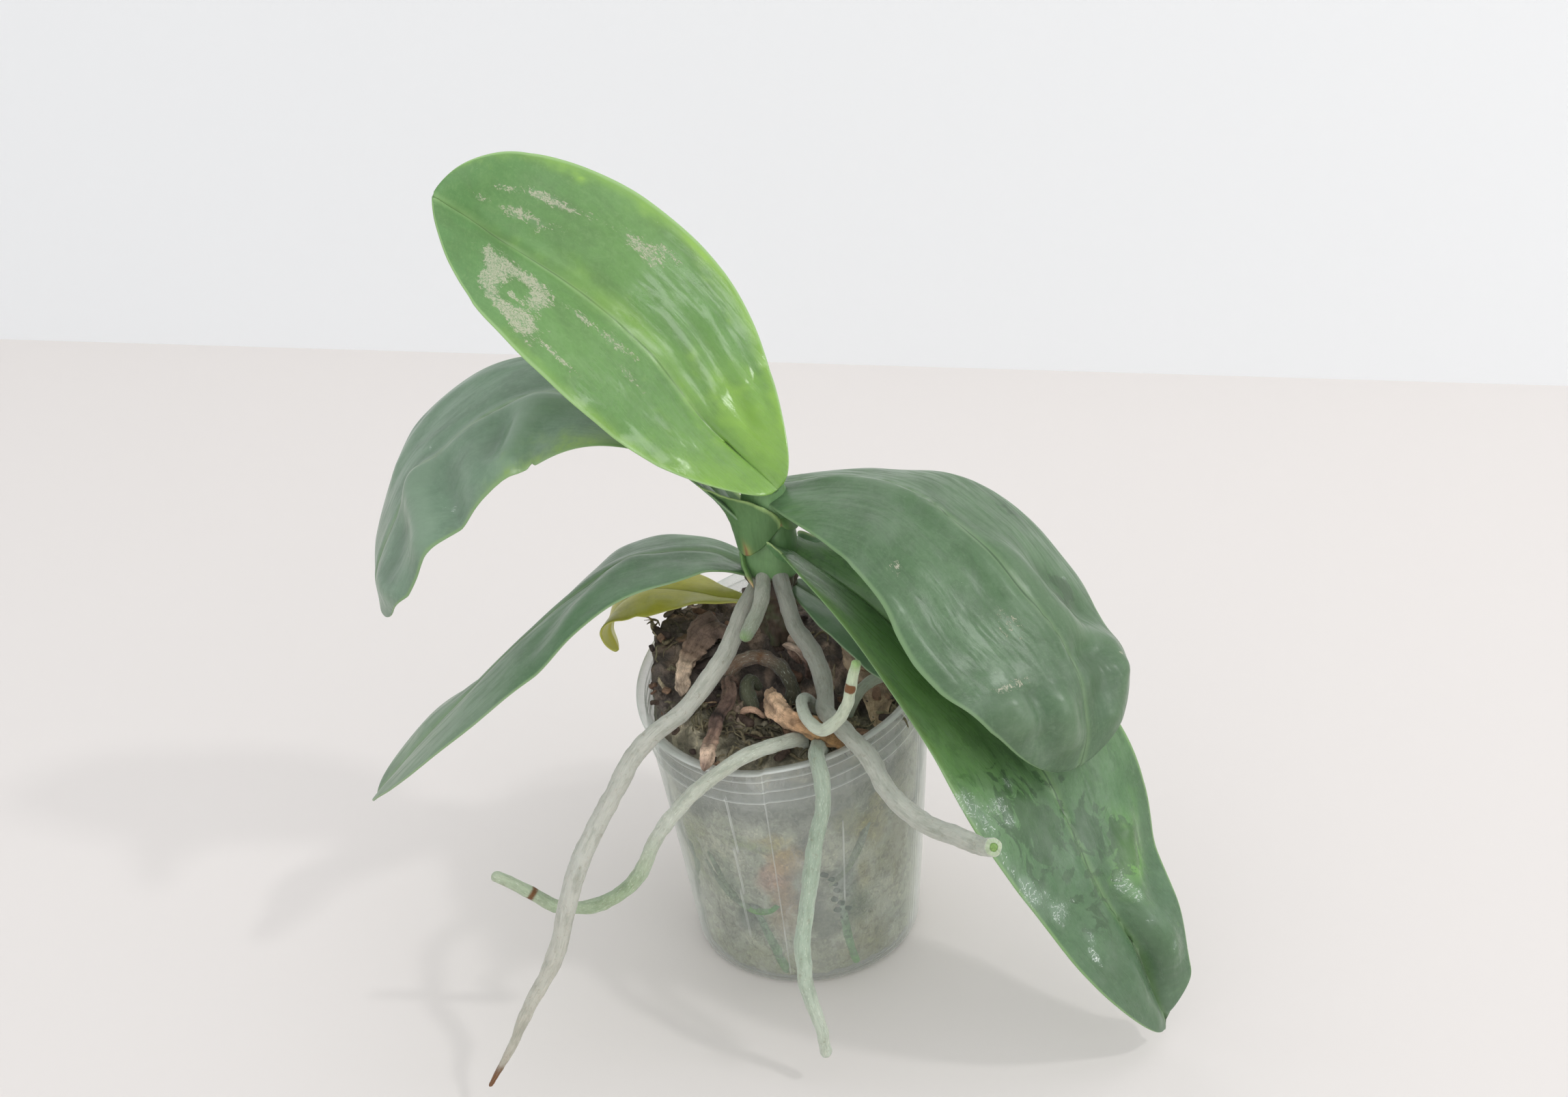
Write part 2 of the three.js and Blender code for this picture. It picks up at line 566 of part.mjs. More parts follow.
place('pot', makePot(), COLOURS.pot, { transparent: true, opacity: 0.4 });
place('root_ball', rootBall, COLOURS.root_ball);
place('stem', makeStem(), COLOURS.stem);
for (const leaf of LEAVES) {
  place(leaf.name, makeLeaf(leaf).subtract(grownStem), leafColours[leaf.name] ?? COLOURS.leaf);
}
for (const { name, body, root } of sweptPieces) {
  place(name, body.subtract(grownStem), root ? COLOURS.root : COLOURS.dry);
}

export default group;
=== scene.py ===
"""Moth orchid without flowers in a soft clear pot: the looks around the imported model.

Shapes are worked out in millimetres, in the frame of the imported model, and turned into
metres when a mesh is made. The leaves, roots and pot repeat the outlines of their solids.
"""

import math

import bpy
import numpy as np
from mathutils import Matrix


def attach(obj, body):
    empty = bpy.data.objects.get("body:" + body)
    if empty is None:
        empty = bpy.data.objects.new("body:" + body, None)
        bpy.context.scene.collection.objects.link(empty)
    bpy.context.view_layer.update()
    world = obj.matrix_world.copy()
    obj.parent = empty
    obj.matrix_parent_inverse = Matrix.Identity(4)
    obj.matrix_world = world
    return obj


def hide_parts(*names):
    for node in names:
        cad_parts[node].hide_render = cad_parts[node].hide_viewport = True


MM = 0.001
CM_PER_MM = 0.1
LATTICE_SIDE = 48
LATTICE = np.random.default_rng(11).random((LATTICE_SIDE,) * 3) * 2 - 1

# Camera and image
IMAGE_WIDTH = 2296
FOCAL_PIXELS = 2399.33
SENSOR_MM = 36
CAMERA_DISTANCE = 593.79
CAMERA_AZIMUTH = -90
CAMERA_ELEVATION = 26.84
CAMERA_ROLL = -5.0
CAMERA_TARGET = (2.55, 0, 165.01)
WALL_FOOT = (14.8, 635.7)
WALL_TURN = -18.6

# Pot, as in the solids
POT_HEIGHT = 120
NECK_RADIUS = 56.3
BASE_RADIUS = 44.8
CORNER_HEIGHT = 2.8
WALL = 0.8
FLOOR = 1.2
RING_HEIGHTS = (103.5, 108.6, 113.7, 118.0)
OVAL = 0.08
OVAL_ANGLE = math.radians(71)
DIP = (0.08, 0.13)
SEAM = -101.5
# Upright lines on the wall: strength, angle, breadth, lowest and highest point in centimetres
WALL_LINES = [
    (0.22, SEAM, 0.035, 0.3, 11.6), (0.4, -115.5, 0.05, 7.2, 10.2), (0.34, -117, 0.05, 4.8, 7.4),
    (0.3, -118.5, 0.05, 2.2, 5.0), (0.3, -74, 0.05, 4.1, 8.3), (0.3, -26.5, 0.05, 0.4, 10),
    (0.16, -29.5, 0.04, 0.4, 10), (0.2, 80, 0.035, 0.3, 11.6), (0.25, 140, 0.05, 3, 9),
    (0.2, 30, 0.05, 2, 7),
]

# Root ball, as in the solids
CREST = 131.7
HOLLOW = (-2, -20)
HOLLOW_DEPTH = 7
HOLLOW_SPREAD = 11

# The blades. heading: the way it points, in degrees. half: greatest half width. base, widest, tip and
# rise: its outline. thick: in the middle. spine: its middle line. turn: twist along it. rise_a, rise_b:
# how far each half lifts. bumps: place along, place across, length, breadth and height
LEAVES = {
    "leaf_1": dict(
        heading=160, half=15, base=0.15, widest=0.52, tip=1.15, rise=1.9, thick=1.2,
        spine=[(-9, 5, 141), (-22, 12, 140.5), (-36, 20, 140.5), (-50, 25, 139.5), (-62, 26, 134),
               (-67.5, 24, 126), (-65, 21, 116.5)],
        turn=(0, 6, 8, 8), rise_a=(30, 10, 6, 20), rise_b=(30, 4, 0, 20),
    ),
    "leaf_2": dict(
        heading=-48, half=11, base=0.35, widest=0.4, tip=1.3, rise=1, thick=1.6,
        spine=[(4.5, 1.5, 149), (13.5, -10.5, 148), (23, -23, 145), (33, -36, 139), (44, -45, 130),
               (52, -52, 119)],
        turn=(0, -4, -6, -6), rise_a=(26, 16, 10, 10), rise_b=(26, 18, 10, 10),
    ),
    "leaf_3": dict(
        heading=182, half=29.5, base=0.36, widest=0.64, tip=1.9, rise=1, thick=2,
        spine=[(-7, 8, 151), (-29, 10, 160), (-61, 4, 160), (-95, -1, 139), (-125, -11, 115), (-161, -6, 77)],
        turn=(-3, -7, -8, 2), rise_a=(13, 5, -10, 15), rise_b=(20, 2, -6, 25),
        bumps=[(0.66, 0.8, 0.09, 0.5, -3), (0.85, 0.5, 0.08, 0.4, 1.5)],
    ),
    "leaf_4": dict(
        heading=-42, half=37, base=0.2, widest=0.5, tip=1.25, rise=0.84, thick=2.2,
        spine=[(1, -2, 168), (32, -36, 155), (67, -60, 120), (93, -84, 90), (107, -93, 55), (122, -90, 12)],
        turn=(10, -25, -4, -16), rise_a=(31, 42, 4, 38), rise_b=(21, 42, 11, 38),
        bumps=[(0.84, -0.55, 0.07, 0.4, 3), (0.74, -0.8, 0.07, 0.4, -2)],
    ),
    "leaf_5": dict(
        heading=176, half=36, base=0.21, widest=0.57, tip=2.4, rise=1.2, thick=2.2,
        spine=[(-8, -3, 173), (-46, 11, 214), (-87, 18, 222), (-123, 13, 203), (-143, 6, 171),
               (-146, 2, 152)],
        turn=(3, 17, 12, 12), rise_a=(7, 2, 11, 7), rise_b=(34, 2, -9, -7),
        bumps=[(0.5, -0.6, 0.06, 0.45, 3.5), (0.6, -0.75, 0.06, 0.45, -3), (0.82, -0.5, 0.06, 0.4, 3)],
    ),
    "leaf_6": dict(
        heading=-38, half=46.5, base=0.17, widest=0.59, tip=1.4, rise=0.88, thick=2.4,
        spine=[(1, 7, 188), (24, -13, 194), (48, -30, 193), (70, -47, 181), (87, -66, 159), (93, -76, 139),
               (93, -79, 114)],
        turn=(1, 1, 0, -7), rise_a=(-3, -4, -15, -6), rise_b=(2, -4, -8, 25),
        bumps=[(0.85, 0.4, 0.07, 0.35, 3), (0.7, -0.6, 0.06, 0.4, -3), (0.8, -0.65, 0.06, 0.4, 3)],
    ),
    "leaf_7": dict(
        heading=178, half=40.5, base=0.09, widest=0.5, tip=1.8, rise=0.63, thick=2,
        spine=[(2, -10, 193), (-20, 8, 213), (-38, 11, 243), (-63, 10, 269), (-86, 7, 288), (-100, -6, 305)],
        turn=(61, 53, 50, 44), rise_a=(22, 12, 19, 19), rise_b=(38, 20, 26, 26),
    ),
}
# How far the blade curls, its thickness at the edge, and the least half width, as a share
LEAF_CURL = 0.12
LEAF_EDGE = 0.9
LEAST_WIDTH = 0.05
LEAF_ROWS = 220
LEAF_COLUMNS = 61

# Looks of each leaf. Colours are sRGB from 0 to 255: base, mid and tip along it, edge and underside.
# spread, shiny: where along it one look gives way to the next. dull, gloss: roughness
# How much paler the ridges of the folds are on each leaf is partly wax and partly a painted highlight.
LEAF_LOOKS = {
    "leaf_1": dict(base=(190, 192, 98), mid=(216, 208, 78), tip=(216, 198, 80), edge=(196, 196, 100),
                   under=(206, 206, 104)),
    "leaf_2": dict(base=(104, 134, 98), mid=(100, 132, 96), tip=(104, 130, 98), edge=(134, 156, 118),
                   under=(124, 150, 114)),
    "leaf_3": dict(base=(82, 122, 66), mid=(96, 130, 94), tip=(116, 142, 112), edge=(146, 172, 124),
                   under=(124, 152, 112), crest=0.4),
    # leaf_4: its paler base colour reaches far along the blade, partly its own green and partly painted light
    # where leaf_6's shadow falls on it.
    "leaf_4": dict(base=(122, 162, 104), mid=(80, 116, 76), tip=(78, 108, 78), edge=(132, 166, 108),
                   under=(118, 148, 106), stain=0.3, gloss=0.26, spread=(0.3, 0.65)),
    # leaf_5: its mid and tip colours are lighter and greyer, partly its own colour and partly a painted
    # reflection of the bright room where it is seen at a grazing angle.
    "leaf_5": dict(base=(104, 136, 94), mid=(112, 140, 114), tip=(114, 140, 116), edge=(132, 162, 108),
                   under=(120, 148, 116), crest=0.55),
    "leaf_6": dict(base=(88, 122, 82), mid=(82, 114, 76), tip=(74, 102, 72), edge=(124, 154, 108),
                   under=(116, 146, 108), stain=0.3, crest=0.3, gloss=0.3,
                   dull=0.54, ribbing=0.03),
    "leaf_7": dict(base=(122, 166, 66), mid=(100, 146, 72), tip=(88, 136, 72), edge=(158, 192, 128),
                   under=(124, 166, 90), bright=(144, 188, 72), gloss=0.1, dull=0.6, ribbing=0.12,
                   shiny=(0.46, 0.52), specular=0.7, dust=0.04),
}
LEAF_PALE = (44, 46, 42)

# Aerial and surface roots: radius, radius at the end, and middle line from the plant outwards
ROOTS = {
    "aerial_root_1": dict(radius=3.4, end=0.9, line=[
        (-5, -2, 156), (-10, -7, 152), (-15, -15, 147), (-21, -24, 138), (-29, -32, 131), (-38, -39, 124),
        (-48, -46, 120.5), (-56, -51, 115), (-62, -56, 107), (-70, -61, 96), (-76, -66, 87), (-81, -70, 77),
        (-85, -74, 66), (-88, -78, 57), (-93, -82, 48), (-98, -86, 42), (-103, -90, 35), (-107, -93, 28),
        (-117, -97, 13)]),
    "aerial_root_2": dict(radius=2.6, end=2, line=[
        (3, -43, 107), (2.5, -48, 114), (-3, -54, 117.5), (-10, -59, 119), (-17, -62, 118.5),
        (-25, -65, 115.5), (-35, -67, 109), (-45, -68, 99), (-52, -67, 88), (-58, -65, 75), (-66, -62, 65),
        (-75, -60, 59), (-83, -58, 57), (-91, -57, 58), (-97, -57, 63), (-104, -57, 69), (-111, -58, 75)]),
    "aerial_root_3": dict(radius=2.8, end=2, line=[
        (10, -43, 103), (9, -49, 110.5), (8, -56, 115.3), (7.5, -64, 117), (8.5, -71, 112), (8, -76, 104),
        (5, -79, 95), (3, -81, 86), (1, -83, 76), (-1, -85, 66), (-3, -87, 56), (-3, -88, 47), (-3, -90, 40),
        (-1, -92, 31), (1, -94, 23), (2, -97, 13)]),
    "aerial_root_4": dict(radius=3.3, end=3.1, line=[
        (-1, -1, 162), (0, -8, 159.5), (1.5, -14, 153), (4, -20, 144), (9, -26, 137), (12, -32, 130),
        (12.5, -39, 125.5), (12, -46, 124), (14, -53, 124.5), (19, -61, 122.5), (25, -70, 119),
        (29, -80, 114), (34, -90, 112), (42, -99, 110), (50, -107, 111), (56, -114, 112), (59, -123, 118)]),
    "aerial_root_5": dict(radius=2.1, end=1.7, line=[
        (10, -27, 110), (7, -33, 120), (4.5, -41, 126), (4, -49, 128), (5.5, -57, 127.5), (10, -63, 127),
        (15, -66, 132), (19, -67, 139), (21, -68, 148), (23, -70, 157)]),
    "aerial_root_6": dict(radius=2.8, end=2.1, line=[
        (-5, -3, 160), (-6, -10, 158), (-7, -17, 154), (-10.5, -24, 149.5), (-14.5, -31, 146)]),
    "aerial_root_7": dict(radius=2.1, end=1.8, line=[
        (19, -33, 108), (21, -34, 116), (25, -31, 121), (31, -27, 123), (37, -24, 122), (43, -22, 119)]),
    "surface_root_1": dict(radius=2.9, end=2.4, line=[
        (-23, -13, 118), (-19, -12, 125), (-13, -11, 127.5), (-7, -12, 126.5), (-2, -15, 123.5),
        (1, -19, 118), (0, -21, 110)]),
    "surface_root_2": dict(radius=2.5, end=2, line=[
        (-11, -15, 115), (-14, -17, 121), (-15.5, -22, 120), (-13.5, -26, 115), (-11, -27, 108)]),
}

# Dried pieces. side: the way the strip is broad. widths: half widths along it. fat: thickness as a share
# of it. gutter: how far it is hollow. crumple: how uneven. torn: how ragged its ends are
DRY_PIECES = {
    "dry_scale_1": dict(
        side=(0.75, -0.35, -0.4), widths=(2.5, 4.8, 5.4, 4, 3, 1.6), fat=0.4, gutter=0.3, crumple=0.9,
        line=[(-20, 5, 128), (-24, 2, 134), (-30, -2, 133.5), (-35, -9, 130.5), (-38, -17, 126.5),
              (-39, -25, 122)],
        skin=[(0, (112, 96, 86)), (0.4, (124, 104, 92)), (0.6, (150, 126, 108)), (0.72, (206, 182, 158)),
              (1, (192, 170, 150))],
    ),
    "dead_root_1": dict(
        side=(1, -0.3, 0), widths=(1.6, 2.3, 2.5, 2.3, 2.2, 2.6, 2.5, 1.6), fat=0.75, gutter=0, crumple=0.8,
        line=[(-19, -17, 116), (-20, -18, 121.5), (-22, -20, 123.5), (-21.5, -25, 122), (-23, -30, 119.8),
              (-26, -35, 118.8), (-27.5, -41, 117), (-29, -47, 116), (-30, -53, 116.2), (-30.5, -58, 116),
              (-31.5, -61.8, 114)],
        skin=[(0, (150, 124, 110)), (0.3, (126, 104, 92)), (0.44, (120, 98, 88)), (0.49, (58, 48, 44)),
              (0.53, (104, 84, 76)), (0.75, (156, 128, 110)), (0.9, (206, 180, 158)), (1, (140, 116, 102))],
    ),
    "dry_sheath_1": dict(
        side=(0.4, 0.41, 0.82), widths=(2.4, 3.4, 3.8, 3.8, 3.4, 3.7, 3.4, 2), fat=0.75, gutter=0,
        crumple=0.7, torn=5,
        line=[(-6, -27, 112), (-7, -29, 120), (-6.5, -35, 122.5), (-4, -42, 122.5), (-0.5, -47, 122.5),
              (4.5, -50, 121), (10, -51, 118.4), (15.5, -50.5, 115), (19, -48, 109)],
        skin=[(0, (50, 44, 40)), (0.12, (62, 52, 46)), (0.2, (176, 146, 118)), (0.45, (214, 180, 148)),
              (0.6, (188, 150, 114)), (0.72, (190, 152, 106)), (0.86, (160, 122, 82)), (1, (132, 102, 72))],
    ),
    "dry_twig_1": dict(
        side=(0, 1, 0.3), widths=(0.8, 1.3, 1.2, 0.8), fat=0.8, gutter=0, crumple=0.7,
        line=[(-18.5, -30, 112), (-17, -31, 117), (-13, -32, 117.6), (-9.5, -31.5, 114)],
        skin=[(0, (186, 150, 128)), (1, (200, 168, 142))],
    ),
    "dry_curl_1": dict(
        side=(0.6, 0.8, 0.2), widths=(1.5, 2.6, 3, 2.6, 1.5), fat=0.6, gutter=0.2, crumple=1.1,
        line=[(5, -10, 122), (2.5, -10.5, 130), (1.5, -12.5, 132.5), (4.5, -15, 132), (7.5, -16.5, 128),
              (8, -16.5, 119)],
        skin=[(0, (140, 112, 98)), (0.25, (168, 142, 126)), (0.5, (206, 184, 164)), (0.7, (140, 112, 100)),
              (1, (90, 74, 66))],
    ),
    "dry_leaf_1": dict(
        side=(0.95, 0, -0.3), widths=(4, 7.6, 8.4, 5.6, 1.2), fat=0.09, gutter=0.22, crumple=0.3, torn=0,
        line=[(29, 1, 118), (28, -3, 125), (28, -12, 123), (31, -22, 118), (31, -31, 115), (30, -39, 110)],
        skin=[(0, (140, 118, 96)), (0.5, (160, 138, 114)), (1, (172, 150, 122))],
    ),
}


# Numbers and curves


def filled(table, **defaults):
    """The table with the missing values of each entry filled in."""
    return {name: {**defaults, **entry} for name, entry in table.items()}


def linear(rgb):
    """sRGB from 0 to 255 as the linear colour a shader wants."""
    c = np.asarray(rgb, float) / 255
    c = np.where(c <= 0.04045, c / 12.92, ((c + 0.055) / 1.055) ** 2.4)
    return (*c.tolist(), 1.0)


def tint_of(rgb):
    """sRGB from 0 to 255 as three linear numbers, for colours that are kept at each point."""
    return np.array(linear(rgb)[:3])


def blend(a, b, share):
    """From one colour to another, by a share at each point."""
    return a + (b - a) * np.clip(share, 0, 1)[..., None]


def toned(stops, t):
    """Colour at each t between stops of place and colour."""
    places = [place for place, _ in stops]
    colours = np.array([tint_of(colour) for _, colour in stops])
    return np.stack([np.interp(t, places, colours[:, k]) for k in range(3)], axis=-1)


def unit(v):
    return v / np.maximum(np.linalg.norm(v, axis=-1, keepdims=True), 1e-12)


def smooth(x):
    x = np.clip(x, 0, 1)
    return x * x * (3 - 2 * x)


def bell(x, centre, width):
    return np.exp(-(((x - centre) / width) ** 2))


def domed(x, power, least=0.0):
    """1 where x is 0, rounded off to the least height where x is 1 or -1."""
    return np.sqrt(np.clip(1 - np.abs(x) ** power, least, 1))


def part_way(x, start, end):
    """How far x has come from start to end, from 0 to 1."""
    return np.clip((x - start) / (end - start), 0, 1)


def points_of(*columns):
    """Points from their coordinates, which may be numbers or arrays."""
    return np.stack(np.broadcast_arrays(*columns), axis=-1)


def path_length(points):
    return np.linalg.norm(np.diff(points, axis=0), axis=1).sum()


def grid_normal(grid):
    return unit(np.cross(np.gradient(grid, axis=1), np.gradient(grid, axis=0)))


def round_angles(sides):
    return np.linspace(0, 2 * math.pi, sides, endpoint=False)


def through(values, t):
    """A smooth curve through a list of numbers or points, at each t from 0 to 1."""
    values = np.asarray(values, float)
    n = len(values) - 1
    ends = [2 * values[0] - values[1]], [2 * values[-1] - values[-2]]
    padded = np.concatenate([ends[0], values, ends[1]])
    u = np.minimum(np.clip(t, 0, 1) * n, n - 1e-9)
    i = u.astype(int)
    f = u - i
    if values.ndim > 1:
        f = f[..., None]
    a, b, c, d = (padded[i + k] for k in range(4))
    return 0.5 * (2 * b + (c - a) * f + (2 * a - 5 * b + 4 * c - d) * f**2 + (3 * b - 3 * c + d - a) * f**3)


def noise(points, size, seed=0):
    """Smooth noise from -1 to 1, with lumps of about the given size."""
    p = np.asarray(points, float) / size + seed * 7.31
    i = np.floor(p).astype(int)
    f = smooth(p - i)
    total = 0
    for corner in np.ndindex(2, 2, 2):
        index = (i + corner) % LATTICE_SIDE
        weight = np.prod(np.where(np.array(corner) == 1, f, 1 - f), axis=-1)
        total = total + weight * LATTICE[index[..., 0], index[..., 1], index[..., 2]]
    return total


def rough(points, size, octaves, seed=0):
    """Noise with finer and finer lumps added."""
    return sum(noise(points, size / 2**k, seed + k) / 2**k for k in range(octaves))


# Meshes


def add_object(name, data):
    """A new object in the scene."""
    made = bpy.data.objects.new(name, data)
    bpy.context.scene.collection.objects.link(made)
    return made


def add_piece(name, node, part, material):
    """A smooth-shaded piece that stands for a CAD node and rides on the one body.

    part: points in millimetres, faces, and extra values at each point.
    """
    points, faces, fields = part
    mesh = bpy.data.meshes.new(name)
    mesh.from_pydata((points * MM).tolist(), [], faces)
    mesh.polygons.foreach_set("use_smooth", [True] * len(mesh.polygons))
    for key, values in fields.items():
        kind, slot = ("FLOAT", "value") if values.ndim == 1 else ("FLOAT_VECTOR", "vector")
        layer = mesh.attributes.new(key, kind, "POINT")
        layer.data.foreach_set(slot, np.asarray(values, float).reshape(-1))
    mesh.materials.append(material)
    mesh.update()
    piece = add_object(name, mesh)
    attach(piece, "root")
    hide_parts(node)


def ring_faces(rings, count):
    """Faces that join closed rings of `count` points each."""
    faces = []
    for start in range(0, (rings - 1) * count, count):
        for k in range(count):
            a = start + k
            b = start + (k + 1) % count
            faces.append((a, b, b + count, a + count))
    return faces


def closed_part(rings, fields):
    """Points, faces and fields of a closed body through rings of points, with a fan at each end."""
    count = rings.shape[1]
    points = np.concatenate([rings.reshape(-1, 3), [rings[0].mean(0)], [rings[-1].mean(0)]])
    faces = ring_faces(len(rings), count)
    first = len(rings) * count
    tail = first - count
    for k in range(count):
        following = (k + 1) % count
        faces.append((first, following, k))
        faces.append((first + 1, tail + k, tail + following))
    return points, faces, {key: end_fields(values) for key, values in fields.items()}


def end_fields(values):
    """Field values for closed_part: the two end points take the value of their ring."""
    return np.concatenate([values.reshape(-1, *values.shape[2:]), [values[0, 0]], [values[-1, 0]]])


def join_parts(parts):
    """One set of points, faces and fields made of several."""
    points, faces, fields = [], [], {}
    start = 0
    for part_points, part_faces, part_fields in parts:
        points.append(part_points)
        faces.extend(tuple(corner + start for corner in face) for face in part_faces)
        for key, values in part_fields.items():
            fields.setdefault(key, []).append(values)
        start += len(part_points)
    fields = {key: np.concatenate(values) for key, values in fields.items()}
    return np.concatenate(points), faces, fields


# Shader nodes


class Shader:
    """One material and short calls that add nodes to it."""

    def __init__(self, name):
        self.material = bpy.data.materials.new(name)
        self.material.use_nodes = True
        self.tree = self.material.node_tree
        self.surface = self.tree.nodes["Principled BSDF"]

    def feed(self, socket, value):
        if isinstance(value, bpy.types.NodeSocket):
            self.tree.links.new(value, socket)
        else:
            socket.default_value = value

    def node(self, kind, inputs=None, **settings):
        made = self.tree.nodes.new("ShaderNode" + kind)
        for key, value in settings.items():
            setattr(made, key, value)
        for key, value in (inputs or {}).items():
            self.feed(made.inputs[key], value)
        return made

    def set(self, **inputs):
        for key, value in inputs.items():
            self.feed(self.surface.inputs[key.replace("_", " ")], value)

    def field(self, name):
        """Three extra values of each point, as a vector or colour."""
        return self.node("Attribute", attribute_name=name, attribute_type="GEOMETRY").outputs["Vector"]

    def amount(self, name):
        """One extra value of each point."""
        return self.node("Attribute", attribute_name=name, attribute_type="GEOMETRY").outputs["Fac"]

    def math(self, operation, a, b=0.0):
        return self.node("Math", {0: a, 1: b}, operation=operation).outputs[0]

    def times(self, a, b):
        return self.math("MULTIPLY", a, b)

    def plus(self, a, b):
        return self.math("ADD", a, b)

    def axis(self, vector, name):
        return self.node("SeparateXYZ", {0: vector}).outputs[name]

    def stretch(self, vector, x, y, z):
        return self.node("VectorMath", {0: vector, 1: (x, y, z)}, operation="MULTIPLY").outputs[0]

    def along(self, vector, direction):
        """How far a vector goes in a direction."""
        return self.node("VectorMath", {0: vector, 1: direction}, operation="DOT_PRODUCT").outputs["Value"]

    def noise(self, vector, scale, detail=3.0, roughness=0.55, distortion=0.0):
        inputs = dict(Vector=vector, Scale=scale, Detail=detail, Roughness=roughness, Distortion=distortion)
        return self.node("TexNoise", inputs).outputs["Fac"]

    def off_middle(self, noise):
        """How far noise is from its middle value: near 0 along winding lines."""
        return self.math("ABSOLUTE", self.plus(noise, -0.5))

    def frayed(self, value, noise, amount):
        """A value made uneven by noise."""
        return self.plus(value, self.times(self.plus(noise, -0.5), amount))

    def cells(self, vector, scale, feature="F1"):
        made = self.node("TexVoronoi", {"Vector": vector, "Scale": scale}, feature=feature)
        return made.outputs["Distance"]

    def span(self, value, low, high, to_low=0.0, to_high=1.0):
        inputs = {"Value": value, "From Min": low, "From Max": high, "To Min": to_low, "To Max": to_high}
        return self.node("MapRange", inputs, interpolation_type="SMOOTHSTEP").outputs[0]

    def mix(self, share, a, b):
        return self.node("Mix", {0: share, 6: a, 7: b}, data_type="RGBA").outputs[2]

    def layered(self, ground, *layers):
        """Colours laid over the ground in turn.

        Each layer: a value, its low and high end, the share of colour at each end, the colour.
        """
        for value, low, high, share_low, share_high, colour in layers:
            ground = self.mix(self.span(value, low, high, share_low, share_high), ground, colour)
        return ground

    def bump(self, height, distance, strength=1.0, normal=None):
        inputs = {"Height": height, "Distance": distance, "Strength": strength}
        if normal is not None:
            inputs["Normal"] = normal
        return self.node("Bump", inputs).outputs[0]


# Leaves


# Relief of a blade, in millimetres
EDGE_WAVE = 0.3
GROOVE_DEPTH = 1.3
GROOVE_WIDTH = 1.1
SHOULDER = 0.45
LUMPS = 0.35
KEEL = 0.7
KEEL_WIDTH = 2.5
# How much closer together rows lie near the tip and columns near the edges
ROW_CROWDING = 1.25
COLUMN_CROWDING = 1.1
# Places along the blade from which tips are notched and rounded
NOTCH_FROM = 0.86
ROUND_FROM = 0.985
PATH_STEPS = 25
MARKS = ("scuff", "lime", "gold", "bright", "wet", "stain")

# What each blade carries. rib: where the midrib lies across it. folds: height, breadth and a path of
# places along and across. nicks: place, side, depth and length. blunt, tips: the shape of the tip. Each
# mark: place along, place across, length, breadth and strength
LEAVES["leaf_7"].update(
    bright=[
        (0.1, 0.5, 0.12, 0.6, 0.6), (0.08, -0.8, 0.12, 0.3, 0.35), (0.3, 0.97, 0.3, 0.1, 0.6),
        (0.42, 0.04, 0.2, 0.1, 0.45), (0.35, -0.97, 0.3, 0.06, 0.5), (0.65, 0.97, 0.25, 0.07, 0.4),
        (0.22, 0.4, 0.12, 0.2, 0.3),
    ],
    wet=[
        (0.42, 0.27, 0.06, 0.07, 0.5), (0.36, 0.46, 0.04, 0.07, 0.6), (0.29, 0.57, 0.05, 0.05, 0.6),
        (0.2, 0.82, 0.1, 0.05, 0.6), (0.3, -0.85, 0.14, 0.08, 0.9), (0.4, 0.02, 0.08, 0.05, 0.5),
    ],
    rib=(0, -0.02, -0.04, -0.06, -0.06, -0.03, -0.03, 0, 0.03, 0),
    folds=[
        (0.8, 2.2, [(0.2, 0.02), (0.45, -0.01), (0.6, 0.02), (0.78, 0.06)]),
        (-0.7, 3, [(0.15, -0.12), (0.4, -0.16), (0.65, -0.12)]),
        (0.7, 3, [(0.12, 0.22), (0.3, 0.25), (0.5, 0.25)]),
        (-0.8, 3, [(0.1, 0.4), (0.25, 0.42), (0.45, 0.4)]),
        (0.7, 3, [(0.1, 0.62), (0.25, 0.62), (0.42, 0.56)]),
        (-0.5, 2.5, [(0.1, 0.75), (0.25, 0.74), (0.36, 0.68)]),
        (0.6, 3, [(0.12, -0.72), (0.3, -0.78), (0.5, -0.85)]),
        (-0.5, 3, [(0.12, -0.55), (0.3, -0.6), (0.45, -0.66)]),
    ],
    scuff=[
        (0.755, -0.36, 0.05, 0.15, 0.9), (0.768, -0.6, 0.035, 0.12, 0.8), (0.705, -0.74, 0.06, 0.07, 0.9),
        (0.645, -0.69, 0.035, 0.1, 1.0), (0.64, -0.42, 0.025, 0.12, 0.9), (0.668, -0.28, 0.04, 0.06, 0.9),
        (0.71, -0.29, 0.05, 0.06, 0.5), (0.7, -0.5, 0.03, 0.1, -0.4), (0.715, 0.565, 0.055, 0.035, 1.1),
        (0.75, 0.32, 0.06, 0.05, 0.75), (0.52, 0.61, 0.05, 0.06, 0.8), (0.475, 0.72, 0.03, 0.04, 0.5),
        (0.54, -0.27, 0.03, 0.035, 0.9), (0.54, -0.755, 0.045, 0.03, 0.7), (0.875, 0.33, 0.03, 0.04, 0.55),
        (0.817, 0.53, 0.03, 0.03, 0.5), (0.46, -0.25, 0.05, 0.05, 0.5), (0.4, -0.42, 0.04, 0.04, 0.5),
    ],
)
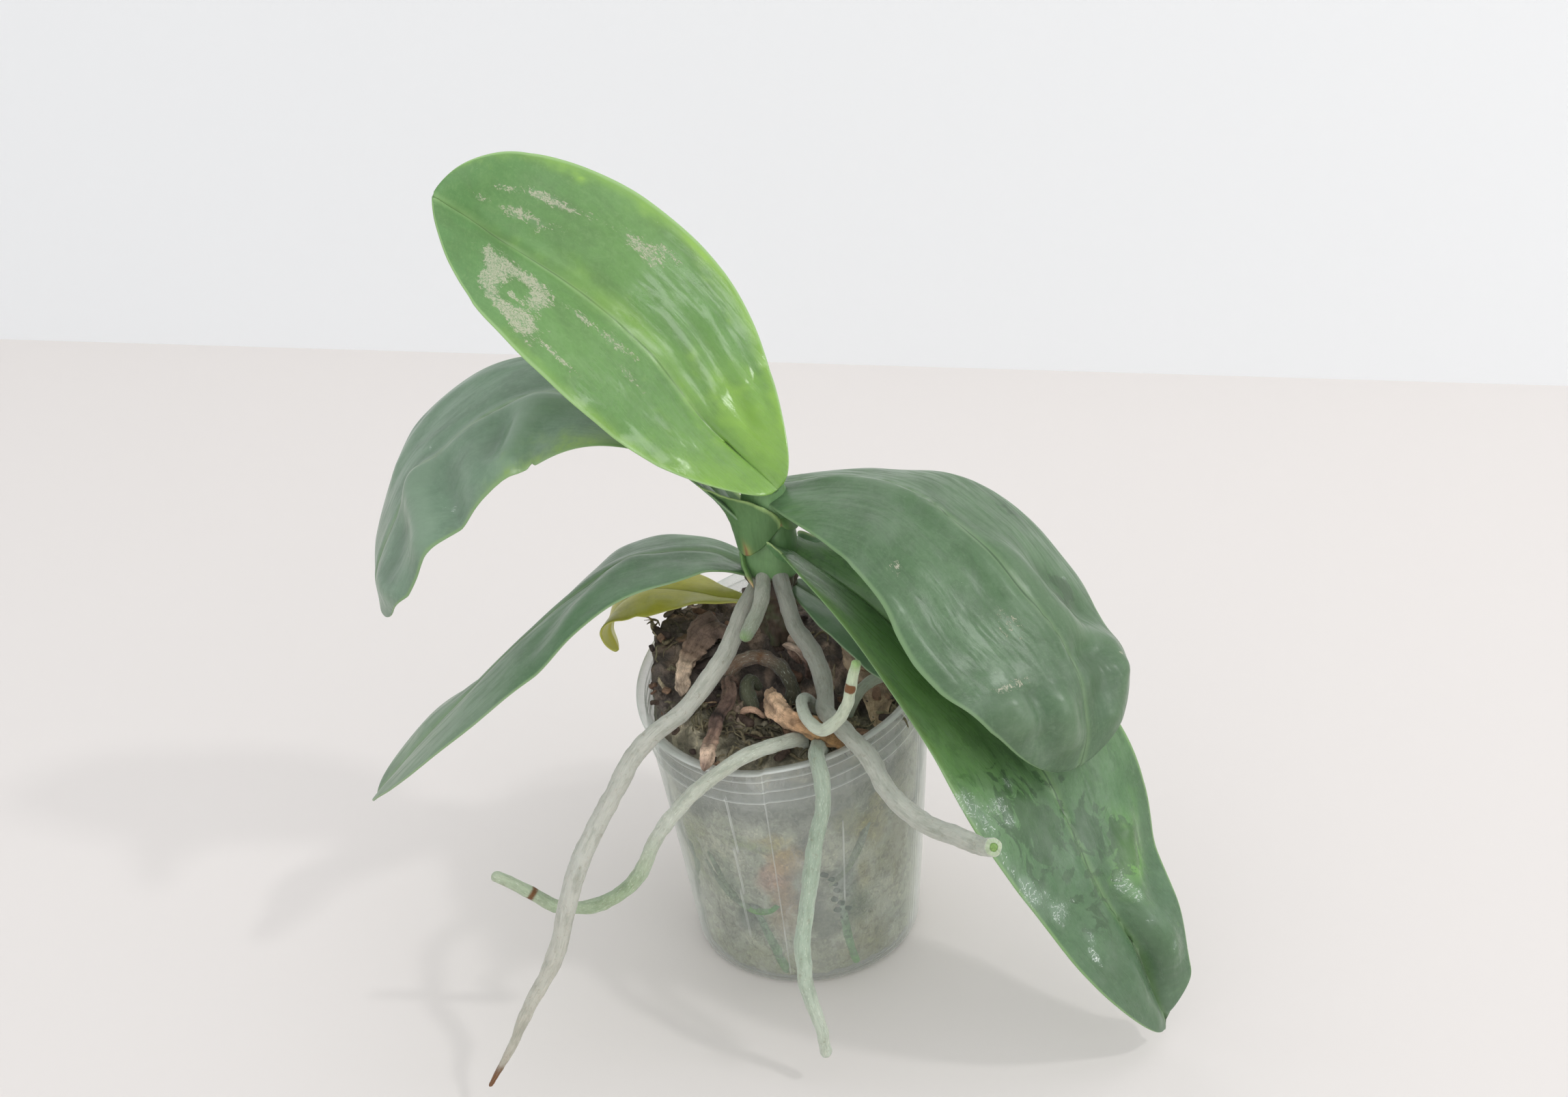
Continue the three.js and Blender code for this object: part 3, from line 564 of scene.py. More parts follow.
LEAVES["leaf_6"].update(
    rib=(0.1, -0.1, -0.19, -0.13, 0, 0.03, 0.03, -0.07, -0.11, -0.12, -0.15),
    folds=[
        (1.6, 5, [(0.06, 0.05), (0.17, -0.1), (0.3, -0.04), (0.45, 0.11), (0.6, 0.12), (0.72, 0)]),
        (-1.2, 5, [(0.3, 0.12), (0.45, 0.25), (0.6, 0.25)]),
        (3.6, 7, [(0.5, -0.1), (0.56, -0.15), (0.63, -0.23), (0.69, -0.45), (0.73, -0.7), (0.77, -0.75)]),
        (-2.8, 7, [(0.55, -0.35), (0.6, -0.42), (0.64, -0.55), (0.66, -0.72)]),
        (-3.2, 8, [(0.74, -0.35), (0.8, -0.45), (0.86, -0.45)]),
        (3.0, 6, [(0.8, -0.75), (0.86, -0.72), (0.92, -0.6)]),
        (3.0, 6.5, [(0.78, 0.7), (0.84, 0.72)]),
        (3.0, 7, [(0.8, 0.25), (0.87, 0.28), (0.93, 0.2)]),
        (-2.6, 4.5, [(0.76, 0.42), (0.82, 0.47), (0.9, 0.55)]),
        (0.9, 3.5, [(0.36, 0.93), (0.5, 0.9), (0.62, 0.88), (0.72, 0.9)]),
        (-0.9, 4.5, [(0.36, 0.75), (0.5, 0.72), (0.62, 0.72)]),
        (1.2, 9, [(0.3, 0.5), (0.45, 0.5)]),
    ],
    wet=[(0.8, 0.66, 0.05, 0.14, 1.1), (0.86, 0.28, 0.06, 0.16, 1.3)],
    stain=[(0.45, -0.75, 0.03, 0.12, 0.6), (0.6, -0.6, 0.04, 0.14, 0.7), (0.66, -0.62, 0.02, 0.1, 0.6)],
    scuff=[
        (0.4, 0.72, 0.02, 0.08, 0.3), (0.742, 0.6, 0.012, 0.14, 0.6), (0.62, 0.27, 0.03, 0.1, 0.3),
        (0.783, -0.77, 0.006, 0.03, 0.7),
    ],
    lime=[(0.592, -0.68, 0.003, 0.008, 2)],
)
LEAVES["leaf_5"].update(
    rib=(0.1, 0.1, 0.1, 0.08, 0.03, -0.07, -0.05, 0.04, 0.08, 0.05, 0),
    nicks=[(0.362, -1, 0.07, 0.007)],
    folds=[
        (1.8, 4.5, [(0.2, 0.03), (0.35, 0), (0.5, -0.12), (0.6, -0.1), (0.72, 0.02)]),
        (-1.2, 4, [(0.25, 0.18), (0.4, 0.12), (0.52, 0.02), (0.64, 0.05), (0.75, 0.16)]),
        (3.0, 7, [(0.31, -0.05), (0.36, -0.15), (0.39, -0.35), (0.41, -0.6), (0.44, -0.8), (0.5, -0.9)]),
        (-2.4, 6, [(0.42, -0.2), (0.45, -0.45), (0.48, -0.66)]),
        (3.6, 6.5, [(0.59, -0.04), (0.62, -0.14), (0.645, -0.3), (0.66, -0.57), (0.68, -0.78),
                    (0.72, -0.92)]),
        (-1.5, 6, [(0.56, -0.35), (0.58, -0.6), (0.6, -0.85)]),
        (-2.2, 7, [(0.7, -0.25), (0.76, -0.45), (0.82, -0.5)]),
        (1.2, 4, [(0.4, 0.75), (0.52, 0.8), (0.6, 0.66), (0.7, 0.68)]),
    ],
    gold=[(0.24, -0.9, 0.09, 0.22, 0.8), (0.36, -0.98, 0.09, 0.1, 0.6), (0.5, -1, 0.1, 0.05, 0.5)],
    lime=[
        (0.613, -0.62, 0.005, 0.02, 1.5), (0.6, -0.7, 0.006, 0.02, 1.5), (0.567, -0.62, 0.004, 0.02, 1.5),
        (0.571, 0.17, 0.004, 0.02, 1.4), (0.525, 0.15, 0.004, 0.02, 1.4), (0.725, -0.72, 0.003, 0.02, 1.4),
    ],
)
LEAVES["leaf_4"].update(
    bright=[(0.7, -0.42, 0.04, 0.22, 0.6), (0.65, -0.5, 0.05, 0.2, 0.3), (0.3, 0.5, 0.14, 0.5, 0.35)],
    stain=[
        (0.53, 0.45, 0.09, 0.35, 0.9), (0.6, -0.1, 0.06, 0.25, 0.9), (0.67, -0.42, 0.05, 0.2, 0.9),
        (0.72, 0.3, 0.05, 0.25, 0.6),
    ],
    rib=(0, 0, -0.02, -0.06, -0.1, -0.1, 0.08, 0.14, 0, -0.1, 0.1),
    blunt=0.09,
    nicks=[(0.965, -1, -0.35, 0.035)],
    tips=[(0.7, 0.8, 4), (-0.15, 0.25, -2)],
    folds=[
        (3.2, 5.5, [(0.6, -0.58), (0.66, -0.47), (0.74, -0.33), (0.79, -0.28), (0.86, -0.42), (0.93, -0.55)]),
        (-1.2, 4, [(0.7, -0.05), (0.78, -0.06), (0.86, -0.14), (0.94, -0.1)]),
        (-1.2, 3, [(0.84, -0.08), (0.9, -0.06), (0.98, 0.1)]),
        (1.6, 5, [(0.84, 0.3), (0.92, 0.4), (0.97, 0.5)]),
        (-0.9, 7, [(0.55, 0.5), (0.66, 0.55), (0.75, 0.5)]),
    ],
    gold=[(0.25, 0.97, 0.2, 0.06, 0.5)],
    lime=[
        (0.46, 0.93, 0.025, 0.09, 0.9), (0.49, 0.85, 0.03, 0.1, 0.8), (0.487, 0.64, 0.012, 0.07, 0.9),
        (0.515, 0.62, 0.014, 0.08, 0.9), (0.475, 0.36, 0.012, 0.07, 0.8), (0.6, 0.9, 0.018, 0.08, 0.9),
        (0.63, 0.9, 0.016, 0.1, 0.9), (0.675, 0.74, 0.018, 0.12, 1.0), (0.75, 0.6, 0.014, 0.06, 0.8),
        (0.779, 0.7, 0.014, 0.06, 0.9), (0.72, -0.2, 0.02, 0.1, 1.0), (0.75, -0.3, 0.014, 0.06, 0.8),
        (0.8, -0.3, 0.01, 0.04, 0.8), (0.858, -0.5, 0.01, 0.05, 0.9), (0.56, 0.9, 0.03, 0.06, 0.5),
    ],
)
LEAVES["leaf_3"].update(
    rib=(0.13, 0.12, 0.1, 0.05, 0, 0, 0, 0, 0, 0, 0),
    folds=[
        (1.0, 4, [(0.1, 0.02), (0.25, -0.02), (0.4, -0.05)]),
        (1.3, 5, [(0.3, -0.02), (0.38, -0.2), (0.46, -0.5), (0.54, -0.8)]),
        (-1.0, 5, [(0.42, 0), (0.52, -0.3), (0.6, -0.6)]),
        (1.0, 4, [(0.72, 0.4), (0.8, 0.3), (0.9, 0.35)]),
    ],
    lime=[(0.3, -0.4, 0.008, 0.03, 0.9), (0.27, -0.5, 0.006, 0.03, 0.9), (0.24, -0.3, 0.006, 0.03, 0.8)],
)
LEAVES = filled(
    LEAVES, blunt=LEAST_WIDTH, rib=(0, 0), bumps=(), folds=(), nicks=(), tips=(), **dict.fromkeys(MARKS, ()),
)
LEAF_LOOKS = filled(
    LEAF_LOOKS, bright=(120, 180, 70), spread=(0.0, 0.35), shiny=(0.9, 1.0), stain=0.15, crest=0.22,
    dust=0.15, dull=0.46, gloss=0.28, ribbing=0.07, specular=0.5,
)


def leaf_width(leaf, t):
    """Half width at t, as a share of the widest half width."""
    start = part_way(t, 0, leaf["widest"])
    end = part_way(t, leaf["widest"], 1)
    opening = leaf["base"] + (1 - leaf["base"]) * np.sin(start * math.pi / 2) ** leaf["rise"]
    return np.where(t < leaf["widest"], opening, np.maximum(domed(end, leaf["tip"]), leaf["blunt"]))


def blade_length(leaf):
    return path_length(through(leaf["spine"], np.linspace(0, 1, 200)))


def near_path(leaf, t, v, path, width):
    """1 on a path across the blade, falling to 0 some millimetres away from it."""
    reach = blade_length(leaf)
    x = t * reach
    y = v * leaf["half"] * leaf_width(leaf, t)
    share = np.linspace(0, 1, PATH_STEPS + 1)
    line = through(path, share)
    px = line[:, 0] * reach
    py = line[:, 1] * leaf["half"] * leaf_width(leaf, line[:, 0])
    nearness = np.zeros(np.broadcast(x, y).shape)
    for k in range(PATH_STEPS):
        dx, dy = px[k + 1] - px[k], py[k + 1] - py[k]
        f = np.clip(((x - px[k]) * dx + (y - py[k]) * dy) / (dx * dx + dy * dy + 1e-9), 0, 1)
        gap = (x - px[k] - f * dx) ** 2 + (y - py[k] - f * dy) ** 2
        along = share[k] + f * share[1]
        fade = smooth(5 * np.minimum(along, 1 - along) + 0.1)
        nearness = np.maximum(nearness, fade * np.exp(-gap / width**2))
    return nearness


def rib_place(leaf, t):
    """Where the midrib lies across the blade, as a value of v."""
    return through(leaf["rib"], t)


def leaf_frames(leaf, t):
    """Middle line of the blade, and its directions forward, across and out of the upper side."""
    step = 1e-3
    ahead = through(leaf["spine"], np.minimum(t + step, 1))
    forward = unit(ahead - through(leaf["spine"], np.maximum(t - step, 0)))
    heading = math.radians(leaf["heading"])
    side = np.array([math.sin(heading), -math.cos(heading), 0])
    side = unit(side - forward * (forward @ side)[:, None])
    up = np.cross(side, forward)
    turn = np.radians(through(leaf["turn"], t))[:, None]
    across = side * np.cos(turn) + up * np.sin(turn)
    normal = up * np.cos(turn) - side * np.sin(turn)
    return through(leaf["spine"], t), forward, across, normal


def leaf_surface(leaf, t, v):
    """Middle surface of the blade at each t (along) and v (across, -1 to 1)."""
    centre, forward, across, normal = (line[:, None] for line in leaf_frames(leaf, t))
    rise_a = np.radians(through(leaf["rise_a"], t))[:, None]
    rise_b = np.radians(through(leaf["rise_b"], t))[:, None]
    tt, vv = np.meshgrid(t, v, indexing="ij")
    rise = np.where(vv >= 0, rise_a, rise_b)
    half = leaf["half"] * leaf_width(leaf, tt)
    spread = half * (vv * leaf_nicks(leaf, tt, vv)) * np.cos(rise)
    lift = half * np.abs(vv) * np.sin(rise) - half * LEAF_CURL * vv**2
    lift = lift + leaf_folds(leaf, tt, vv) + leaf_waves(leaf, tt, vv, half)
    reach = leaf_reach(leaf, tt, vv)
    return centre + across * spread[..., None] + normal * lift[..., None] + forward * reach[..., None]


def leaf_folds(leaf, t, v):
    """Bumps and folds, in millimetres."""
    lift = np.zeros(t.shape)
    for place, side, length, breadth, height in leaf["bumps"]:
        lift = lift + height * bell(t, place, length) * bell(v, side, breadth)
    for height, width, path in leaf["folds"]:
        lift = lift + height * near_path(leaf, t, v, path, width)
    return lift


def leaf_waves(leaf, t, v, half):
    """Low waves along the edges, soft lumps and the groove over the midrib, in millimetres."""
    seed = leaf["heading"] * 0.1
    wave = np.sin(t * 23 + seed + 2 * v) + 0.6 * np.sin(t * 41 + seed * 3 - v)
    edge_wave = EDGE_WAVE * wave * v**2 * smooth(t * 4)
    from_rib = (v - rib_place(leaf, t)) * half
    groove = SHOULDER * bell(from_rib, 2.6, 2.2) - GROOVE_DEPTH * np.exp(-np.abs(from_rib) / GROOVE_WIDTH)
    fade = smooth(t * 8) * smooth((1 - t) * 6) * min(1, leaf["half"] / 32) ** 2
    lumps = LUMPS * noise(points_of(t * 16, v * half / 9, seed), 1)
    return edge_wave + groove * fade + lumps * smooth(t * 3)


def leaf_nicks(leaf, t, v):
    """Share of the width that is left where a piece of the margin is torn off."""
    left = np.ones(t.shape)
    for place, side, depth, length in leaf["nicks"]:
        edge = smooth((side * v - 1 + 3 * abs(depth)) / (3 * abs(depth)))
        left = left - depth * edge * bell(t, place, length)
    return left


def leaf_reach(leaf, t, v):
    """How far a place near the tip is pushed along the leaf, for notched tips."""
    reach = np.zeros(t.shape)
    for place, breadth, length in leaf["tips"]:
        reach = reach + length * bell(v, place, breadth) * smooth(part_way(t, NOTCH_FROM, 1))
    return reach


def leaf_thickness(leaf, t, v):
    """Thick in the middle, thin at the edge, and rounded off at the edge and the tip."""
    ease = np.minimum(1, 0.55 + leaf_width(leaf, t))[:, None]
    thick = LEAF_EDGE + (leaf["thick"] - LEAF_EDGE) * (1 - v**2)[None, :] * ease
    at_tip = np.sqrt(1 - 0.98 * part_way(t, ROUND_FROM, 1) ** 2)[:, None]
    return thick * domed(v, 30)[None, :] * at_tip


def leaf_part(leaf):
    """A blade: the upper and lower surface on both sides of the middle one, with a keel below."""
    t = 1 - (1 - np.linspace(0, 1, LEAF_ROWS)) ** ROW_CROWDING
    v = np.sin(np.linspace(-math.pi / 2, math.pi / 2, LEAF_COLUMNS))
    v = np.sign(v) * np.abs(v) ** COLUMN_CROWDING
    grid = leaf_surface(leaf, t, v)
    normal = grid_normal(grid)
    thick = leaf_thickness(leaf, t, v)
    from_rib = (v[None, :] - rib_place(leaf, t)[:, None]) * leaf["half"]
    keel = KEEL * bell(from_rib, 0, KEEL_WIDTH) * smooth((1 - t) * 3)[:, None]
    upper = grid + normal * (thick / 2)[..., None]
    lower = grid - normal * (thick / 2 + keel)[..., None]
    rings = np.concatenate([upper, lower[:, -2:0:-1]], axis=1)
    fields = leaf_fields(leaf, t, v)
    return closed_part(rings[:, ::-1], {key: values[:, ::-1] for key, values in fields.items()})


def leaf_fields(leaf, t, v):
    """Where each point is on the blade, in shares and in centimetres, and what marks it has."""
    tt, vv = np.meshgrid(t, np.concatenate([v, v[-2:0:-1]]), indexing="ij")
    top = np.broadcast_to(1.0 * (np.arange(tt.shape[1]) < len(v)), tt.shape)
    half = leaf["half"] * leaf_width(leaf, tt) * CM_PER_MM
    along = tt * blade_length(leaf) * CM_PER_MM
    blade = points_of(along + leaf["half"], (vv - rib_place(leaf, tt)) * half, top * 5)
    fold = np.zeros(tt.shape)
    for height, width, path in leaf["folds"]:
        fold = fold + height / 3 * near_path(leaf, tt, vv, path, width)
    fields = {"place": points_of(tt, vv, top), "blade": blade, "fold": np.clip(fold, -1, 1)}
    ragged = 1 + 0.7 * rough(blade * (1, 1.6, 0), 0.5, 3, 7)
    for kind in MARKS:
        fields[kind] = np.zeros(tt.shape)
        for place, side, length, breadth, strength in leaf[kind]:
            away = ((tt - place) / length) ** 2 + ((vv - side) / breadth) ** 2
            fields[kind] = fields[kind] + strength * np.exp(-away * ragged)
    return fields


# Colours of the marks, as sRGB
GOLD = (132, 164, 84)
VEIL = (158, 176, 162)
SCUFF = (194, 190, 168)
LIME = (222, 230, 222)
DUST = (150, 162, 148)
SPECK = (196, 208, 192)


class LeafSkin(Shader):
    """The skin of one leaf: its ground colour, veins, marks, wear and shine."""

    def __init__(self, name):
        super().__init__(name + "_skin")
        self.look = LEAF_LOOKS[name]
        middle = np.array(self.look["mid"])
        self.deep = linear(middle * 0.8)
        self.stained = linear(middle * 0.7)
        self.pale = linear(middle * 0.78 + np.array(LEAF_PALE))
        self.edge = linear(self.look["edge"])
        place = self.field("place")
        self.blade = self.field("blade")
        self.t = self.axis(place, "X")
        self.across = self.math("ABSOLUTE", self.axis(place, "Y"))
        self.top = self.axis(place, "Z")
        self.clouds = self.blade_noise(0.5, 0.8, 0.8, 5, 0.6, 0.5)
        self.stains = self.blade_noise(0.7, 1, 1.5, 6, 0.65, 1.2)
        self.mottle = self.blade_noise(1, 1, 5.5, 6, 0.7, 0.6)
        self.veins = self.blade_noise(0.3, 6, 1.6, 4, 0.6)
        self.grain = self.blade_noise(1, 1.8, 4.5, 5, 0.7, 1.0)
        skin = self.with_marks(self.with_veins(self.ground()))
        scuffs, lime = self.scuffs(), self.lime()
        self.set(Base_Color=self.with_wear(skin, scuffs, lime))
        self.finish(scuffs, lime)

    def blade_noise(self, along, across, scale, *look):
        """Noise on the blade, stretched along it and across it."""
        return self.noise(self.stretch(self.blade, along, across, 1), scale, *look)

    def ground(self):
        """Ground colour with soft clouds, sharper stains and mottling."""
        look, deep, pale = self.look, self.deep, self.pale
        return self.layered(
            linear(look["base"]),
            (self.t, *look["spread"], 0, 1, linear(look["mid"])),
            (self.t, 0.5, 0.95, 0, 1, linear(look["tip"])),
            (self.clouds, 0.4, 0.7, 0, 0.55, deep),
            (self.clouds, 0.25, 0.45, 0.4, 0, pale),
            (self.stains, 0.53, 0.57, 0, look["stain"], deep),
            (self.mottle, 0.45, 0.75, 0, 0.4, pale),
            (self.mottle, 0.25, 0.45, 0.4, 0, deep),
        )

    def with_veins(self, ground):
        """Veins, most of them near the base, fold ridges made paler, partly wax and partly a painted
        highlight, painted shade in the fold valleys, and the midrib with painted shade in its groove.
        """
        share = self.span(self.t, 0.1, 0.6, 0.22, 0.07)
        ground = self.mix(self.times(self.span(self.veins, 0.45, 0.62), share), ground, self.pale)
        ground = self.mix(self.times(self.span(self.veins, 0.3, 0.45, 1, 0), share), ground, self.deep)
        fold = self.amount("fold")
        from_midrib = self.math("ABSOLUTE", self.axis(self.blade, "Y"))
        return self.layered(
            ground,
            # Fold ridges paler, partly wax and partly a painted highlight; painted shade in the fold valleys.
            (fold, 0.1, 0.9, 0, self.look["crest"], self.pale),
            (fold, -0.9, -0.1, 0.55, 0, self.deep),
            (from_midrib, 0.04, 0.3, 0.4, 0, self.edge),
            # Painted shade: a dark line in the groove over the midrib.
            (from_midrib, 0.02, 0.06, 0.75, 0, self.deep),
        )

    def with_marks(self, skin):
        """Yellowed and bright patches, pooled stains, the margin and the underside."""
        gold = self.times(self.amount("gold"), self.span(self.mottle, 0.3, 0.6, 0.6, 1))
        skin = self.mix(gold, skin, linear(GOLD))
        bright = self.times(self.amount("bright"), self.span(self.clouds, 0.3, 0.6, 0.7, 1))
        skin = self.mix(bright, skin, linear(self.look["bright"]))
        stain = self.amount("stain")
        pooled = self.span(self.frayed(stain, self.stains, 3.0), 0.5, 0.56)
        pooled = self.times(pooled, self.span(stain, 0.1, 0.4, 0, 0.6))
        skin = self.mix(pooled, skin, self.stained)
        skin = self.layered(skin, (self.across, 0.955, 0.985, 0, 0.7, self.edge))
        under = linear(self.look["under"])
        under = self.layered(under, (self.veins, 0.4, 0.62, 0, 0.5, linear(self.look["mid"])))
        return self.mix(self.top, under, skin)

    def scuffs(self):
        """Where the skin is scuffed, broken up by fine cracks."""
        scuffed = self.amount("scuff")
        worn = self.span(self.frayed(scuffed, self.grain, 3.4), 0.42, 0.52)
        cracks = self.off_middle(self.blade_noise(1, 1.5, 5, 1.5, 0.5, 1.6))
        worn = self.times(worn, self.span(cracks, 0.02, 0.06, 0.1, 1))
        return self.times(worn, self.span(scuffed, 0.08, 0.2))

    def lime(self):
        """Where drops have left lime, in thin broken lines."""
        limed = self.amount("lime")
        crackle = self.off_middle(self.blade_noise(1, 1, 2.6, 4, 0.6, 1.4))
        broken = self.span(self.frayed(limed, self.grain, 4.0), 0.55, 0.75)
        lines = self.times(self.span(crackle, 0.006, 0.02, 1, 0), broken)
        return self.times(lines, self.span(limed, 0.06, 0.25))

    def with_wear(self, skin, scuffs, lime):
        """A pale veil round the marks, the marks themselves, dust and specks."""
        near_scuffs = self.span(self.amount("scuff"), 0.15, 0.9, 0, 0.2)
        veil = self.plus(near_scuffs, self.span(self.amount("lime"), 0.1, 1.0, 0, 0.28))
        dust = self.span(self.blade_noise(0.6, 0.8, 0.9, 5, 0.6), 0.45, 0.7, 0, self.look["dust"])
        specks = self.span(self.cells(self.blade, 2.1), 0.012, 0.03, 0.5, 0)
        wear = [
            (veil, self.top, VEIL), (scuffs, 0.75, SCUFF), (lime, 0.85, LIME),
            (dust, self.top, DUST), (specks, self.top, SPECK),
        ]
        for where, share, colour in wear:
            skin = self.mix(self.times(where, share), skin, linear(colour))
        return skin

    def finish(self, scuffs, lime):
        """Shiny low down and where wet, duller where worn, with fine ribs and grain."""
        look = self.look
        streaks = self.span(self.blade_noise(0.4, 3, 1.6, 5, 0.6), 0.35, 0.6)
        shine = self.times(self.span(self.t, *look["shiny"], 1, 0), streaks)
        shine = self.plus(shine, self.amount("wet"))
        roughness = self.span(shine, 0, 1, look["dull"], look["gloss"])
        roughness = self.plus(roughness, self.times(self.plus(scuffs, lime), 0.3))
        normal = self.bump(self.blade_noise(0.25, 4, 1.2, 3), 0.0005, look["ribbing"])
        normal = self.bump(self.blade_noise(0.8, 1.3, 2.5, 4), 0.0006, 0.17, normal)
        normal = self.bump(self.noise(self.blade, 30, 3), 0.0001, 0.25, normal)
        normal = self.bump(scuffs, 0.00025, 0.4, normal)
        self.set(Roughness=roughness, Normal=normal, Specular_IOR_Level=look["specular"])
        self.set(Subsurface_Weight=0.06, Subsurface_Radius=(0.5, 1.0, 0.3), Subsurface_Scale=0.002)
        self.set(Sheen_Weight=0.06, Sheen_Roughness=0.4)


# Roots


# Millimetres from one ring of a root or strip to the next
ROOT_STEP = 0.6
STRIP_STEP = 0.4
# Relief of a root: swelling as a share of its radius, then lumps and grooves in millimetres
SWELLING = 0.075
ROOT_LUMPS = 0.2
ROOT_GROOVE = 0.16

# Skin of each root: colours along it, how lumpy, grooved, shrivelled and flecked it is, and how blunt
# its end. brown: place, reach, share and, if on one side only, the side. cut: rings of the cut end
ROOTS["aerial_root_1"].update(
    skin=[(0, (164, 164, 150)), (0.12, (192, 192, 180)), (0.6, (196, 196, 186)), (0.955, (190, 186, 172)),
          (0.975, (110, 94, 84)), (1, (72, 62, 58))],
    shrivel=1, groove=0.2, fleck=0.25, brown=[(1, 8, 1.1), (0.62, 2, 0.3), (0.93, 8, 0.4)],
)
ROOTS["aerial_root_2"].update(
    skin=[(0, (196, 200, 186)), (0.25, (190, 194, 178)), (0.45, (200, 204, 190)), (0.62, (170, 190, 154)),
          (1, (182, 194, 168))],
    groove=0.8, fleck=1, brown=[(0.9, 1.6, 0.9), (0.17, 1.5, 0.35)],
)
ROOTS["aerial_root_3"].update(
    skin=[(0, (172, 180, 164)), (0.4, (166, 182, 162)), (0.7, (178, 194, 174)), (1, (200, 206, 190))],
    groove=1.3, fleck=1,
)
ROOTS["aerial_root_4"].update(
    skin=[(0, (158, 160, 150)), (0.35, (160, 162, 150)), (0.6, (190, 192, 180)), (0.9, (188, 190, 178)),
          (1, (196, 200, 184))],
    blunt=0.3, groove=0.25, fleck=0.25, brown=[(0.62, 1.4, 0.35), (0.9, 3, 0.3)],
    cut=[(0.0, 0.36, (140, 176, 96)), (0.36, 0.52, (104, 140, 68)), (0.52, 0.9, (186, 200, 168))],
)
ROOTS["aerial_root_5"].update(
    skin=[(0, (186, 192, 178)), (0.4, (192, 198, 182)), (0.8, (204, 212, 188)), (0.95, (198, 212, 178)),
          (1, (156, 190, 120))],
    blunt=0.7, groove=0.15, fleck=0.15, brown=[(0.86, 1.7, 1.6, (-0.4, -0.9, 0.1))],
)
ROOTS["aerial_root_6"].update(
    skin=[(0, (186, 188, 174)), (0.5, (176, 178, 164)), (0.88, (160, 168, 148)), (1, (134, 162, 110))],
    groove=0.2, fleck=0.7, brown=[(0.15, 1.5, 0.3)],
)
ROOTS["aerial_root_7"].update(skin=[(0, (150, 156, 136)), (1, (176, 186, 168))], groove=0.3)
ROOTS["surface_root_1"].update(
    skin=[(0, (134, 114, 100)), (0.3, (156, 134, 116)), (0.5, (138, 120, 104)), (0.62, (104, 100, 84)),
          (1, (84, 86, 68))],
    lumpy=2.2, groove=2, fleck=1, brown=[(0.2, 3, 0.5), (0.42, 2.5, 0.6)],
)
ROOTS["surface_root_2"].update(
    skin=[(0, (100, 102, 82)), (1, (118, 122, 98))], lumpy=1.6, groove=0.9, fleck=0.5,
)
ROOTS = filled(ROOTS, blunt=1.1, lumpy=1, groove=0.3, shrivel=0, fleck=0.3, brown=(), cut=())


def root_frames(line, count, tip=0.0):
    """Centres along a line, with a frame that doesn't twist.

    Over the last tip millimetres the centres lie closer together.
    """
    fine = through(line, np.linspace(0, 1, 1200))
    gone = np.concatenate([[0], np.cumsum(np.linalg.norm(np.diff(fine, axis=0), axis=1))])
    at = np.linspace(0, gone[-1] - tip, count)
    if tip:
        at = np.append(at[:-1], gone[-1] - tip * (1 - np.sin(np.linspace(0, math.pi / 2, 16))))
    centre = np.stack([np.interp(at, gone, fine[:, k]) for k in range(3)], axis=1)
    tangent = unit(np.gradient(centre, at, axis=0))
    normal = np.zeros_like(centre)
    normal[0] = unit(np.cross(tangent[0], (0.31, 0.17, 0.93)))
    for k in range(1, len(at)):
        normal[k] = unit(normal[k - 1] - tangent[k] * (normal[k - 1] @ tangent[k]))
    return centre, tangent, normal, np.cross(tangent, normal), at


def line_length(line):
    return path_length(through(line, np.linspace(0, 1, 300)))


def root_radius(root, at, around, centre, angle, seed):
    """Radius at each point: lumpy, grooved, and shrivelled at the end where the root is dead."""
    t = at / at[-1]
    radius = root["radius"] + (root["end"] - root["radius"]) * part_way(t, 0.75, 1)
    knots = noise(points_of(at / 7, 0, seed), 1) + 0.5 * noise(points_of(at / 3, 0, seed), 1)
    swell = 1 + SWELLING * root["lumpy"] * knots[:, None]
    lumps = ROOT_LUMPS * root["lumpy"] * rough(centre[:, None] + around * 4, 3.4, 4, seed)
    winding = 5 * angle + 1.5 * noise(points_of(at / 14, seed, 0), 1)[:, None]
    groove = root["groove"] * ROOT_GROOVE * np.maximum(np.cos(winding), -0.2)
    shrivel = root["shrivel"] * smooth((t - 0.8) / 0.2)[:, None]
    creases = 1 - shrivel * 0.25 * (1 + np.cos(angle * 3 + t[:, None] * 9))
    return radius, (radius[:, None] * swell + lumps - groove) * creases


def root_colours(root, at, around, tip):
    """Tint at each point with the cut end's rings, and how brown each point is."""
    t = at / at[-1]
    tint = np.repeat(toned(root["skin"], t)[:, None], around.shape[1], axis=1)
    for low, high, colour in root["cut"]:
        inside = (tip >= low) & (tip < high) & (t > 0.98)
        tint[inside] = tint_of(colour)
    brown = np.zeros(around.shape[:2])
    for place, reach, share, *facing in root["brown"]:
        spot = share * bell(at[:, None], place * at[-1], reach)
        if facing:
            spot = spot * smooth(around @ unit(np.array(facing[0], float)) * 1.5 - 0.1)
        brown = brown + spot
    return tint, brown


